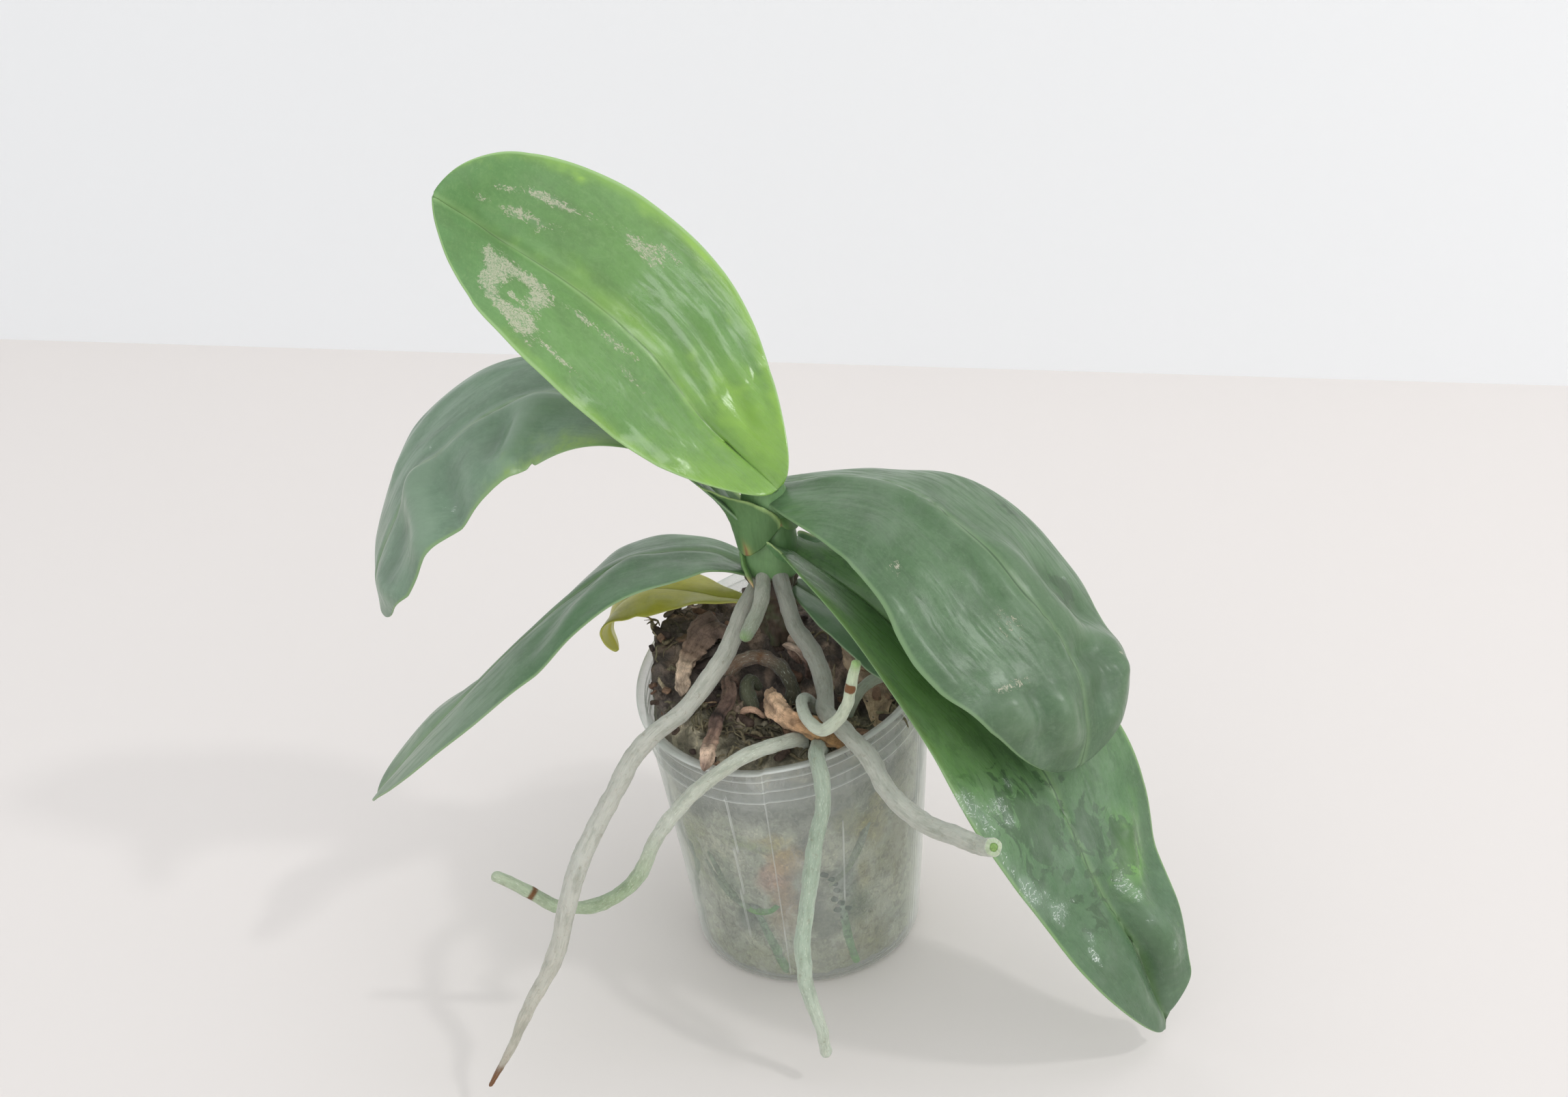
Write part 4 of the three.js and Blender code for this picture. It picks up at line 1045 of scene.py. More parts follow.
def root_part(name, sides=34):
    root = ROOTS[name]
    blunt = root["blunt"] * root["end"]
    count = int(line_length(root["line"]) / ROOT_STEP) + 8
    centre, _, normal, binormal, at = root_frames(root["line"], count, blunt)
    angle = round_angles(sides)
    around = np.cos(angle)[:, None] * normal[:, None] + np.sin(angle)[:, None] * binormal[:, None]
    seed = len(name) + root["radius"] * 3
    tip = domed(1 - part_way(at[-1] - at, 0, blunt), 2.2, 0.0004)
    tip = tip * domed(1 - part_way(at, 0, root["radius"]), 2, 0.01)
    radius, r = root_radius(root, at, around, centre, angle, seed)
    rings = centre[:, None] + around * (r * tip[:, None])[..., None]
    wide = radius[:, None] * CM_PER_MM
    tint, brown = root_colours(root, at, around, tip)
    fields = {
        "root": points_of(at[:, None] * CM_PER_MM + seed, np.cos(angle) * wide, np.sin(angle) * wide),
        "tint": tint,
        "brown": brown,
        "fleck": np.full(brown.shape, root["fleck"]),
    }
    return closed_part(rings, fields)


def root_material():
    s = Shader("root_skin")
    root = s.field("root")
    tint = s.field("tint")
    shade = s.stretch(tint, 0.6, 0.62, 0.58)
    chalk = s.stretch(tint, 1.28, 1.26, 1.24)
    patches = s.noise(s.stretch(root, 0.7, 2.2, 2.2), 1.8, 6, 0.65, 0.4)
    streaks = s.noise(s.stretch(root, 0.9, 14, 14), 1.4, 5, 0.65)
    skin = s.layered(
        tint,
        (patches, 0.45, 0.68, 0, 0.6, shade),
        (streaks, 0.52, 0.72, 0, 0.5, chalk),
        (streaks, 0.28, 0.46, 0.5, 0, shade),
    )
    flecks = s.noise(s.stretch(root, 2.6, 20, 20), 2.4, 2, 0.5)
    flecks = s.times(s.span(flecks, 0.62, 0.68), s.amount("fleck"))
    skin = s.mix(s.times(flecks, 0.75), skin, linear((224, 230, 214)))
    dirt = s.noise(root, 5, 6, 0.75, 0.5)
    skin = s.layered(
        skin,
        (dirt, 0.55, 0.7, 0, 0.5, linear((138, 128, 104))),
        (s.cells(s.stretch(root, 1, 2, 2), 9), 0.05, 0.14, 0.35, 0, shade),
        (s.times(s.amount("brown"), s.plus(dirt, 0.4)), 0.3, 0.75, 0, 1, linear((122, 84, 52))),
    )
    normal = s.bump(streaks, 0.0005, 0.6)
    normal = s.bump(s.noise(s.stretch(root, 2, 5, 5), 3.2, 5, 0.75), 0.0005, 0.5, normal)
    s.set(Base_Color=skin, Roughness=s.span(patches, 0.3, 0.7, 0.62, 0.8), Normal=normal)
    s.set(Specular_IOR_Level=0.3, Subsurface_Weight=0.06, Subsurface_Scale=0.001)
    s.set(Sheen_Weight=0.35, Sheen_Roughness=0.35)
    return s.material


# Dry pieces


# Relief of a strip, as shares of its half width
UNEVEN = 0.18
CREASES = 0.42
WRINKLES = 0.2
DRY_PIECES = filled(DRY_PIECES, torn=0.8)


def dry_part(dry, sides=32):
    """A dried, crumpled strip: an uneven section with long creases, short wrinkles and torn ends."""
    count = int(line_length(dry["line"]) / STRIP_STEP) + 6
    centre, tangent, _, _, at = root_frames(dry["line"], count)
    t = at / at[-1]
    side = np.array(dry["side"], float)
    wide = unit(side - tangent * (tangent @ side)[:, None])
    thin = np.cross(tangent, wide)
    seed = dry["widths"][1] * 3.7
    widths = np.interp(t, np.linspace(0, 1, len(dry["widths"])), dry["widths"])
    half = (widths * (1 + UNEVEN * noise(points_of(at / 4, seed, 0), 1)))[:, None]
    angle = round_angles(sides)[None, :]
    ca, sa = np.cos(angle), np.sin(angle)
    along = at[:, None]
    crease = rough(points_of(along / 9, ca * 1.5 + seed, sa * 1.5), 1, 4, 2)
    wrinkle = rough(points_of(along / 2, ca * 0.9 + seed, sa * 0.9), 1, 4, 5)
    swell = 1 + dry["crumple"] * (CREASES * crease + WRINKLES * wrinkle)
    half = half * domed(2 * t - 1, 16, 0.01)[:, None]
    across = half * ca * swell
    raised = half * (dry["fat"] * sa * swell + dry["gutter"] * (ca**2 - 0.5))
    torn = dry["torn"] * noise(points_of(ca * 1.7, sa * 1.7 + seed, 0), 1)
    reach = torn * (part_way(at[-1] - along, 0, 3) - part_way(along, 0, 4))
    rings = centre[:, None] + wide[:, None] * across[..., None] + thin[:, None] * raised[..., None]
    rings = rings + tangent[:, None] * reach[..., None]
    strip = points_of(along * CM_PER_MM + seed, across * CM_PER_MM, raised * CM_PER_MM)
    # Painted shade and highlight: darker in the creases and wrinkles, lighter where they push the strip out.
    tint = toned(dry["skin"], t)[:, None] * (1 + 0.45 * np.clip(crease + wrinkle, -1, 1))[..., None]
    return closed_part(rings, {"strip": strip, "tint": tint})


def dry_material():
    s = Shader("dry_paper")
    strip = s.field("strip")
    tint = s.field("tint")
    shade = s.stretch(tint, 0.42, 0.38, 0.34)
    pale = s.stretch(tint, 1.35, 1.36, 1.36)
    fibres = s.noise(s.stretch(strip, 1.4, 8, 8), 2, 5, 0.65, 0.3)
    blotch = s.noise(strip, 3.5, 6, 0.72, 0.6)
    cracks = s.cells(s.stretch(strip, 0.8, 1.6, 1.6), 4.5, "DISTANCE_TO_EDGE")
    skin = s.layered(
        tint,
        (fibres, 0.5, 0.68, 0, 0.6, pale),
        (fibres, 0.3, 0.44, 0.55, 0, shade),
        (blotch, 0.54, 0.7, 0, 0.6, shade),
        (cracks, 0.0, 0.05, 0.55, 0, shade),
    )
    normal = s.bump(fibres, 0.0008, 0.5)
    normal = s.bump(cracks, 0.0006, 0.4, normal)
    normal = s.bump(s.noise(strip, 14, 4, 0.7), 0.0003, 0.4, normal)
    s.set(Base_Color=skin, Roughness=s.span(blotch, 0.3, 0.7, 0.55, 0.8), Normal=normal)
    s.set(Specular_IOR_Level=0.3, Sheen_Weight=0.15, Sheen_Roughness=0.4)
    return s.material


# Stem


# How each leaf's foot wraps the stem. join: where it leaves the blade. foot: its lower edge from v = -1
# to 1. dry: dried patches by place, breadth and colour
SHEATHS = {
    "leaf_3": dict(
        join=0.05, skin=(112, 152, 88), margin=(150, 182, 112), dry=[(-1, 0.22, (196, 170, 124))],
        foot=[(-9.3, -11.8, 156.5), (-12.4, -8.5, 162), (-13, -4, 169), (-12, 3, 168), (-9, 9, 160)],
    ),
    "leaf_4": dict(
        join=0.05, skin=(92, 136, 84), margin=(172, 196, 132), dry=[],
        foot=[(8, 5, 168), (8.5, -4, 164), (4.5, -10.5, 164), (-0.5, -12.2, 168), (-4.4, -12, 173.8)],
    ),
    "leaf_5": dict(
        join=0.09, skin=(88, 126, 72), margin=(160, 188, 116),
        dry=[(-0.12, 0.12, (150, 158, 86)), (-0.1, 0.05, (140, 104, 66))],
        foot=[(2.2, -11.8, 179.6), (-5.5, -12.6, 172), (-11.4, -10.8, 169.2), (-14, -3, 172), (-8, 8, 176)],
    ),
    "leaf_6": dict(
        join=0.03, skin=(112, 150, 90), margin=(168, 192, 128), dry=[(1, 0.1, (150, 126, 84))],
        foot=[(4, 8, 186), (9, 1, 179), (8, -6, 176.5), (5, -10.5, 177.5), (1.6, -12, 180)],
    ),
}
STEM_LINE = [(-3, 3, 114), (-3, 2, 134), (-3, 0, 150), (-3, -1, 164), (-2.5, -2, 181), (-3, -3, 197)]
STEM_RADII = [6.5, 7.5, 9.5, 10.3, 9, 6.5]
STEM_OVAL = 0.12
STEM_OVAL_ANGLE = math.radians(40)
# The stem is old and brown below this height
STEM_GREEN_FROM = 159
STEM_GREEN = (112, 150, 98)
STEM_BROWN = (96, 82, 70)
STEM_TOP_RINGS = 9


def shell_part(upper, lower, fields):
    """A closed shell between two grids of points."""
    rows, columns = upper.shape[:2]
    points = np.concatenate([upper.reshape(-1, 3), lower.reshape(-1, 3)])
    count = rows * columns
    number = np.arange(count).reshape(rows, columns)
    corners = [number[:-1, :-1], number[1:, :-1], number[1:, 1:], number[:-1, 1:]]
    corners = np.stack(corners, -1).reshape(-1, 4)
    faces = [tuple(face) for face in corners.tolist() + (corners[:, [0, 3, 2, 1]] + count).tolist()]
    rim = np.concatenate([number[0], number[1:, -1], number[-1, -2::-1], number[-2:0:-1, 0]]).tolist()
    for a, b in zip(rim, rim[1:] + rim[:1]):
        faces.append((a, b, b + count, a + count))
    return points, faces, {key: np.tile(values.reshape(-1, 3), (2, 1)) for key, values in fields.items()}


def sheath_grid(name, v, q):
    """From the foot's lower edge, where q is 0, up to the blade, where q is 1."""
    sheath = SHEATHS[name]
    top, ahead = leaf_surface(LEAVES[name], np.array([sheath["join"], sheath["join"] + 0.01]), v)
    foot = through(sheath["foot"], (v + 1) / 2)
    gap = np.linalg.norm(top - foot, axis=-1)[:, None]
    outward = unit(foot - (-3, -1, 0)) * (1, 1, 0)
    leave = unit(outward * 0.35 + (0, 0, 1)) * gap
    arrive = unit(ahead - top) * gap
    q = q[:, None, None]
    below = 2 * q**3 - 3 * q**2 + 1
    return below * foot + (q**3 - 2 * q**2 + q) * leave + (1 - below) * top + (q**3 - q**2) * arrive


def sheath_part(name):
    """A leaf's foot: a shell from the first part of the blade down and round the stem."""
    sheath = SHEATHS[name]
    v = np.linspace(-1, 1, 61)
    q = np.linspace(0, 1, 56)
    grid = sheath_grid(name, v, q)
    grid = grid + 0.25 * rough(grid, 6, 3, 5)[..., None]
    normal = grid_normal(grid)
    height, across = np.meshgrid(q, v, indexing="ij")
    thick = (0.35 + 1.1 * (1 - across**6) * smooth(height * 3 + 0.35))[..., None]
    tint = np.broadcast_to(tint_of(sheath["skin"]), grid.shape)
    tint = blend(tint, tint_of(sheath["margin"]), 0.8 * smooth((np.abs(across) - 0.9) / 0.06))
    for place, reach, colour in sheath["dry"]:
        spot = bell(across, place, reach) * bell(height, 0, 0.12) * 1.6
        tint = blend(tint, tint_of(colour), spot + 0.4 * rough(grid, 2, 3) * spot)
    grain = points_of(grid[..., 0], grid[..., 1], across * 12) * CM_PER_MM
    return shell_part(grid + normal * thick / 2, grid - normal * thick / 2, {"stem": grain, "tint": tint})


def core_part(rows=200, sides=84):
    """The stem itself, rough and brown below, smooth and green above, rounded off at the top."""
    angle = round_angles(sides)
    centre = through(STEM_LINE, np.linspace(0, 1, rows))[:, None]
    oval = 1 + STEM_OVAL * np.cos(2 * (angle + STEM_OVAL_ANGLE))
    radius = through(STEM_RADII, np.linspace(0, 1, rows))[:, None] * oval
    x = centre[..., 0] + radius * np.cos(angle)
    y = centre[..., 1] + radius * np.sin(angle)
    rings = points_of(x, y, centre[..., 2])
    old = smooth((STEM_GREEN_FROM - rings[..., 2]) / 3)
    lumps = 0.4 * rough(rings, 7, 3, 2) + old * (1.4 * rough(rings * (1, 1, 0.5), 4, 4, 7) - 1.2)
    rings = rings + unit(rings - centre) * lumps[..., None]
    for row in range(1, STEM_TOP_RINGS):
        middle = rings[-row].mean(0)
        rings[-row] = middle + (rings[-row] - middle) * domed(1 - row / STEM_TOP_RINGS, 2)
    green = np.broadcast_to(tint_of(STEM_GREEN), rings.shape)
    tint = blend(green, tint_of(STEM_BROWN), old + 0.3 * old * rough(rings, 5, 3))
    return closed_part(rings, {"stem": rings * (1, 1, 0.25) * CM_PER_MM, "tint": tint})


def stem_material():
    s = Shader("stem_skin")
    stem = s.field("stem")
    tint = s.field("tint")
    shade = s.stretch(tint, 0.62, 0.66, 0.6)
    pale = s.stretch(tint, 1.35, 1.28, 1.25)
    fibres = s.noise(s.stretch(stem, 7, 7, 4), 1.6, 5, 0.6)
    clouds = s.noise(stem, 1.8, 5, 0.6, 0.4)
    skin = s.layered(
        tint,
        (fibres, 0.5, 0.7, 0, 0.35, pale),
        (fibres, 0.3, 0.46, 0.35, 0, shade),
        (clouds, 0.45, 0.7, 0, 0.5, shade),
        (clouds, 0.3, 0.42, 0.3, 0, pale),
    )
    s.set(Base_Color=skin, Roughness=s.span(clouds, 0.3, 0.7, 0.42, 0.58), Normal=s.bump(fibres, 0.0004, 0.3))
    s.set(Subsurface_Weight=0.06, Subsurface_Scale=0.002, Sheen_Weight=0.15, Sheen_Roughness=0.4)
    return s.material


# Pot


# Share of haze in the clear wall: least and most of the clouds in it, and the most in all
HAZE = (0.13, 0.2)
MOST_HAZE = 0.92
# Relief of the wall, in millimetres
BUCKLE = 0.35
SEAM_STEP = 0.7
DROOP = 0.5
PLASTIC = (228, 231, 226)
# Radius of the wall in its own pattern, and how the upright lines fade out, in centimetres
WALL_CM = 5.6
LINE_FADE = 0.4
# A ring line on the wall: how far out, how far up, edge
RING_PROFILE = [
    (0, -0.9, 0), (0.15, -0.45, 0.1), (0.5, -0.2, 0.9), (0.6, 0, 0.9), (0.45, 0.2, 0.3), (0.05, 0.6, 0),
]


def soften(r, angle, z):
    """Where the soft, slightly bent pot has a point of its round shape."""
    k = z / POT_HEIGHT
    rr = r * (1 + OVAL * k * np.cos(2 * (angle - OVAL_ANGLE)))
    x = rr * np.cos(angle)
    y = rr * np.sin(angle)
    return points_of(x, y, z + k * (DIP[0] * x + DIP[1] * y))


def wall_radius(z):
    return BASE_RADIUS + (NECK_RADIUS - BASE_RADIUS) * part_way(z, CORNER_HEIGHT, RING_HEIGHTS[0])


def pot_profile():
    """Outside from the middle of the base up to the lip, then down inside: radius, height, edge."""
    rows = [(0.01, 0, 0), (20, 0, 0), (38, 0, 0), (40.3, 0, 0), (42.5, 0.25, 0.05), (43.8, 0.9, 0.1)]
    rows += [(44.6, 1.9, 0.1), (44.8, 2.8, 0)]
    rows += [(wall_radius(z), z, 0) for z in (6, 12, 20, 30, 40, 50, 60, 70, 80, 88, 94, 98, 101)]
    for z in RING_HEIGHTS:
        rows += [(wall_radius(z) + out, z + up, edge) for out, up, edge in RING_PROFILE]
    rows += [(58.9, 119.2, 0.1), (59.6, 119.5, 0.2), (60, 120, 0.7), (59.7, 120.35, 0.8), (59.2, 120.4, 0.5)]
    rows += [(57.5, 119.7, 0.1), (NECK_RADIUS - WALL, 118.6, 0.1)]
    rows += [(wall_radius(z) - WALL, z, 0) for z in (112, 106, 100, 94, 86, 76, 66, 56, 46, 36, 26, 16, 8, 4)]
    rows += [(43.2, 2.2, 0.05), (42, 1.4, 0.05), (40, FLOOR, 0), (20, FLOOR, 0), (0.01, FLOOR, 0)]
    return np.array(rows)


def pot_part(sides=360):
    """The thin shell, a little buckled, with a step at its seam and an uneven lip."""
    r, z, edge = (column[:, None] for column in pot_profile().T)
    angle = round_angles(sides)[None, :]
    x, y = np.cos(angle), np.sin(angle)
    buckle = BUCKLE * noise(points_of(x * 2.2, y * 2.2, z / 60), 1) * smooth(z / 30)
    past_seam = (np.degrees(angle) - SEAM) % 360
    step = SEAM_STEP * smooth(past_seam / 1.5) * bell(past_seam, 0, 40) * smooth((z - 100) / 2)
    droop = DROOP * noise(points_of(x * 3, y * 3, 0), 1) * smooth((z - 100) / 20)
    rings = soften(r + buckle, angle, z + step + droop)
    wall = points_of(x * WALL_CM, y * WALL_CM, z * CM_PER_MM)
    return closed_part(rings, {"edge": np.broadcast_to(edge, rings.shape[:2]), "wall": wall})


def upright_line(s, wall, degrees, breadth, low, high):
    """1 on a thin upright line on the wall, from one height to another in centimetres."""
    a = math.radians(degrees)
    beside = s.math("ABSOLUTE", s.along(wall, (-math.sin(a), math.cos(a), 0)))
    in_front = s.math("GREATER_THAN", s.along(wall, (math.cos(a), math.sin(a), 0)), 0)
    height = s.axis(wall, "Z")
    near = s.times(s.span(beside, 0, breadth, 1, 0), in_front)
    near = s.times(near, s.span(height, low, low + LINE_FADE))
    return s.times(near, s.span(height, high, high + LINE_FADE, 1, 0))


def pot_haze(s, scratches):
    """How milky the clear wall is at each point."""
    wall = s.field("wall")
    clouds = s.noise(s.stretch(wall, 1, 1, 0.6), 0.6, 5)
    smears = s.noise(s.stretch(wall, 1.4, 1.4, 0.5), 1.1, 6, 0.65, 0.8)
    grazing = s.node("LayerWeight", {"Blend": 0.35}).outputs["Facing"]
    haze = s.span(clouds, 0.3, 0.7, *HAZE)
    haze = s.plus(haze, s.span(scratches, 0.6, 0.76, 0, 0.12))
    haze = s.plus(haze, s.span(smears, 0.52, 0.7, 0, 0.09))
    haze = s.plus(haze, s.span(s.axis(wall, "Z"), 9.6, 10.4, 0, 0.1))
    for strength, *line in WALL_LINES:
        worn = s.span(scratches, 0.3, 0.55, 0.35 * strength, strength)
        haze = s.plus(haze, s.times(upright_line(s, wall, *line), worn))
    haze = s.plus(haze, s.times(s.span(grazing, 0.4, 1.0), 0.42))
    haze = s.plus(haze, s.times(s.amount("edge"), 0.5))
    return s.math("MINIMUM", haze, MOST_HAZE)


def pot_material():
    s = Shader("clear_plastic")
    scratches = s.noise(s.stretch(s.field("wall"), 6, 6, 0.5), 1.8, 5, 0.7)
    normal = s.bump(scratches, 0.0003, 0.25)
    s.set(Base_Color=linear(PLASTIC), Roughness=0.3, Normal=normal, Specular_IOR_Level=0.5)
    clear = s.node("BsdfTransparent", {"Color": (0.98, 0.99, 0.985, 1)})
    layers = {0: pot_haze(s, scratches), 1: clear.outputs[0], 2: s.surface.outputs[0]}
    s.feed(s.tree.nodes["Material Output"].inputs["Surface"], s.node("MixShader", layers).outputs[0])
    return s.material


# Root ball


# What shows through the wall: angle, height, half sizes in degrees and millimetres, colour, share
SIDE_PATCHES = [
    (-100, 99, 75, 19, (122, 126, 118), 0.9), (80, 100, 110, 14, (104, 104, 92), 0.9),
    (-104, 57, 8, 10, (210, 164, 144), 0.85), (-98, 66, 9, 7, (204, 168, 118), 0.9),
    (-99, 45, 7, 9, (178, 136, 96), 0.85), (-102, 33, 6, 9, (164, 132, 98), 0.6),
    (-112, 72, 12, 4.5, (142, 160, 88), 0.9), (-103, 74.5, 10, 3.5, (192, 172, 96), 0.9),
    (-94, 69, 6, 4, (188, 156, 92), 0.9), (-88, 72, 6, 6, (40, 52, 38), 0.8),
    (-144, 56, 6, 14, (146, 160, 96), 0.8), (-137, 72, 9, 5, (170, 172, 124), 0.7),
    (-70, 78, 6, 8, (150, 150, 96), 0.7), (-58, 68, 9, 12, (178, 168, 110), 0.9),
    (-50, 52, 8, 14, (150, 150, 112), 0.7), (-64, 50, 5, 9, (170, 162, 112), 0.7),
    (-40, 60, 8, 26, (164, 160, 126), 0.7),
    (-73, 50, 6, 14, (132, 146, 138), 0.8), (-125, 50, 9, 14, (96, 122, 96), 0.7),
    (-121, 31, 8, 9, (62, 84, 66), 0.9), (-88, 48, 8, 14, (104, 106, 92), 0.8),
    (-82, 30, 7, 10, (76, 90, 66), 0.8), (-66, 34, 7, 8, (92, 112, 76), 0.7),
    (-100, 8, 60, 10, (158, 160, 122), 0.8), (-132, 24, 12, 14, (156, 158, 138), 0.8),
    (-58, 14, 14, 10, (150, 146, 108), 0.7), (20, 60, 30, 20, (160, 150, 100), 0.6),
    (75, 40, 26, 22, (96, 112, 76), 0.7), (130, 66, 20, 18, (176, 130, 98), 0.6),
    (150, 30, 26, 16, (150, 156, 116), 0.7),
]
# Roots that lie against the inside of the wall: radius, colour at start and end, then angle and height
WALL_ROOTS = [
    (1.9, (150, 172, 150), (96, 168, 62),
     [(-75, 42), (-74, 34), (-73, 27), (-71.5, 19), (-70, 13), (-67, 5)]),
    (2.4, (140, 160, 140), (122, 168, 104),
     [(-115, 42), (-112, 34), (-110, 27), (-107.5, 18), (-106, 11), (-104, 5)]),
    (1.5, (120, 172, 84), (74, 160, 54), [(-121, 41), (-117, 39.6), (-112, 39.4), (-107, 41), (-103.5, 44)]),
    (1.3, (150, 166, 140), (140, 160, 130), [(-133, 66), (-130, 58), (-126, 50), (-121, 43), (-116, 39)]),
    (1.2, (160, 172, 150), (146, 164, 138), [(-136, 60), (-131, 51), (-125, 44), (-118, 40.5)]),
    (1.6, (160, 170, 150), (140, 156, 126), [(-61, 76), (-66, 66), (-72, 58), (-80, 52)]),
]
# Dark growths on one of them, by angle and height
DARK_DOTS = [
    (-82, 58.5), (-79.5, 55.5), (-78, 52.5), (-77, 48.5), (-78, 44), (-75, 41), (-77, 38), (-72, 37),
    (-74, 33),
]
BARK = [(136, 108, 90), (160, 130, 108), (104, 88, 78), (172, 144, 120), (126, 116, 106), (88, 76, 70)]
MOSS = [(146, 138, 110), (126, 120, 98), (164, 154, 126), (116, 110, 92), (156, 144, 116)]
SHREDS = [(196, 164, 134), (168, 134, 110), (120, 98, 82), (206, 190, 160), (92, 76, 66)]
DARK_GROWTH = (26, 74, 40)
DRAWN_WALL_ROOTS = 24
BARK_CHIPS = 64
EDGE_CRUMBS = 46
DRY_SHREDS = 26
MOSS_STRANDS = 230
MOUND_REACH = 50
FULL_TURN = 6.3
BLOCK_FOOT = 1.6
BLOCK_SIDES = 340
SIDE_RINGS = 84
SHOULDER_RINGS = 12
MOUND_RINGS = 54
# Gap from the block to the wall at the sides and at the foot, in millimetres
SIDE_GAP = 0.5
FOOT_GAP = 4.5


def mound_height(x, y):
    """The mound falls away to the front, the right and the back, with a hollow in it."""
    dip = HOLLOW_DEPTH * np.exp(-((x - HOLLOW[0]) ** 2 + (y - HOLLOW[1]) ** 2) / (2 * HOLLOW_SPREAD**2))
    slopes = 0.4 * np.minimum(y - 8, 0) - 0.12 * np.maximum(x - 5, 0) - 0.5 * np.maximum(y - 24, 0)
    return CREST + slopes - dip


def near_wall(angle, z, depth):
    """A place some way in from the inner face of the pot's wall."""
    return soften(wall_radius(z) - WALL - depth, angle, z)


def pressed_in(p, depth):
    """Points moved towards the pot's axis."""
    return p - unit(p * (1, 1, 0)) * depth[:, None]


def soil_part(rings, tint):
    """A closed part of the root ball whose grain lies in its own points."""
    points, faces, fields = closed_part(rings, {"tint": tint})
    return points, faces, {"soil": points * CM_PER_MM, **fields}


def side_tint(p, angle):
    """Colour of the block behind the clear wall."""
    degrees = np.degrees(angle)
    wobble = rough(p, 10, 4, 6)
    mixed = smooth(0.5 + rough(p, 16, 4, 3))
    tint = blend(tint_of((178, 182, 160)), tint_of((208, 208, 186)), mixed)
    for patch_angle, height, reach, rise, colour, share in SIDE_PATCHES:
        gap = (degrees - patch_angle + 180) % 360 - 180
        away = np.sqrt((gap / reach) ** 2 + ((p[..., 2] - height) / rise) ** 2)
        tint = blend(tint, tint_of(colour), 0.9 * share * smooth(1.45 - away + 0.55 * wobble))
    return tint


def top_tint(p):
    """Colour of the mound: dark bark behind, brown and olive moss in front and at the edge."""
    mossy = smooth((-p[..., 1] - 20) / 16 + 0.5 * rough(p, 9, 3, 4))
    pale = smooth(rough(p, 7, 4, 9) * 1.4)
    brown = blend(tint_of((118, 108, 101)), tint_of((180, 158, 140)), pale)
    moss = blend(tint_of((138, 132, 114)), tint_of((205, 196, 170)), pale)
    return blend(brown, moss, mossy)


def block_part(sides):
    """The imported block: rough sides close to the pot's wall and a crumbly mound on top."""
    angle = round_angles(sides)
    neck = NECK_RADIUS - WALL - SIDE_GAP
    rings, tints = [], []
    for z in (BLOCK_FOOT, *np.linspace(3.5, 104, SIDE_RINGS)):
        p = near_wall(angle, z, FOOT_GAP if z == BLOCK_FOOT else SIDE_GAP)
        rings.append(pressed_in(p, 0.35 + 1.6 * np.abs(rough(p, 9, 4, 3)) ** 1.2))
        tints.append(side_tint(p, angle))
    foot = rings[-1]
    brim = soften(neck - 1.5, angle, POT_HEIGHT)
    brim[:, 2] = mound_height(brim[:, 0], brim[:, 1]) - 2
    for share in np.linspace(0.12, 1, SHOULDER_RINGS):
        p = foot + (brim - foot) * share
        rings.append(pressed_in(p, 1.9 * np.abs(rough(p, 6, 4, 12)) * smooth(share * 3)))
        tints.append(blend(side_tint(p, angle), top_tint(p), np.full(sides, share)))
    for share in np.linspace(0.97, 0.02, MOUND_RINGS):
        p = soften((neck - 1.8) * share, angle, POT_HEIGHT)
        flat = p * (1, 1, 0)
        crumbs = 2.2 * rough(flat, 8, 5, 8) + 2.0 * np.abs(rough(flat, 3.4, 3, 2)) - 0.8
        p[:, 2] = mound_height(p[:, 0], p[:, 1]) + crumbs - 1.6 * smooth((share - 0.9) / 0.1)
        rings.append(p)
        tints.append(top_tint(p))
    return soil_part(np.array(rings), np.array(tints))


def tube_part(line, radii, sides, step, tints, flat=1.0):
    """A thin root, strand or shred along a line; its colour runs from one tint to another."""
    centre, _, normal, binormal, at = root_frames(line, max(5, int(path_length(line) / step)))
    t = at / at[-1]
    angle = round_angles(sides)
    r = through(radii, t)[:, None]
    rings = centre[:, None] + normal[:, None] * (r * np.cos(angle))[..., None]
    rings = rings + binormal[:, None] * (flat * r * np.sin(angle))[..., None]
    tint = np.repeat(blend(tints[0], tints[1], t)[:, None], sides, axis=1)
    grain = points_of(at[:, None] * 0.4, rings[..., 0], rings[..., 2]) * CM_PER_MM
    return closed_part(rings, {"soil": grain, "tint": tint})


def chip_part(middle, size, turn, tint):
    """A worn chip of bark: a rounded, roughened block."""
    up = np.linspace(-math.pi / 2, math.pi / 2, 9)[1:-1, None]
    around = round_angles(14)[None, :]
    ball = points_of(np.cos(up) * np.cos(around), np.cos(up) * np.sin(around), np.sin(up))
    shape = np.sign(ball) * np.abs(ball) ** 0.5 * size
    shape = shape + 0.35 * rough(shape + middle, 2.6, 3)[..., None] * unit(ball)
    spin = Matrix.Rotation(turn[0], 3, "Z") @ Matrix.Rotation(turn[1], 3, "X")
    spin = np.array(spin @ Matrix.Rotation(turn[2], 3, "Y"))
    return soil_part(shape @ spin.T + middle, np.broadcast_to(tint, shape.shape))


def drawn(draw, *spans):
    """One number drawn from each span."""
    return np.array([draw.uniform(low, high) for low, high in spans])


def drawn_tint(draw, colours):
    return tint_of(colours[draw.integers(len(colours))])


def mound_spot(draw, front):
    """A place on the mound; the front share of them lie in the mossy front."""
    while True:
        x, y = draw.uniform(-52, 52), draw.uniform(-52, 50)
        if draw.random() < front:
            y = draw.uniform(-50, -24)
        if math.hypot(x, y) < MOUND_REACH:
            return x, y


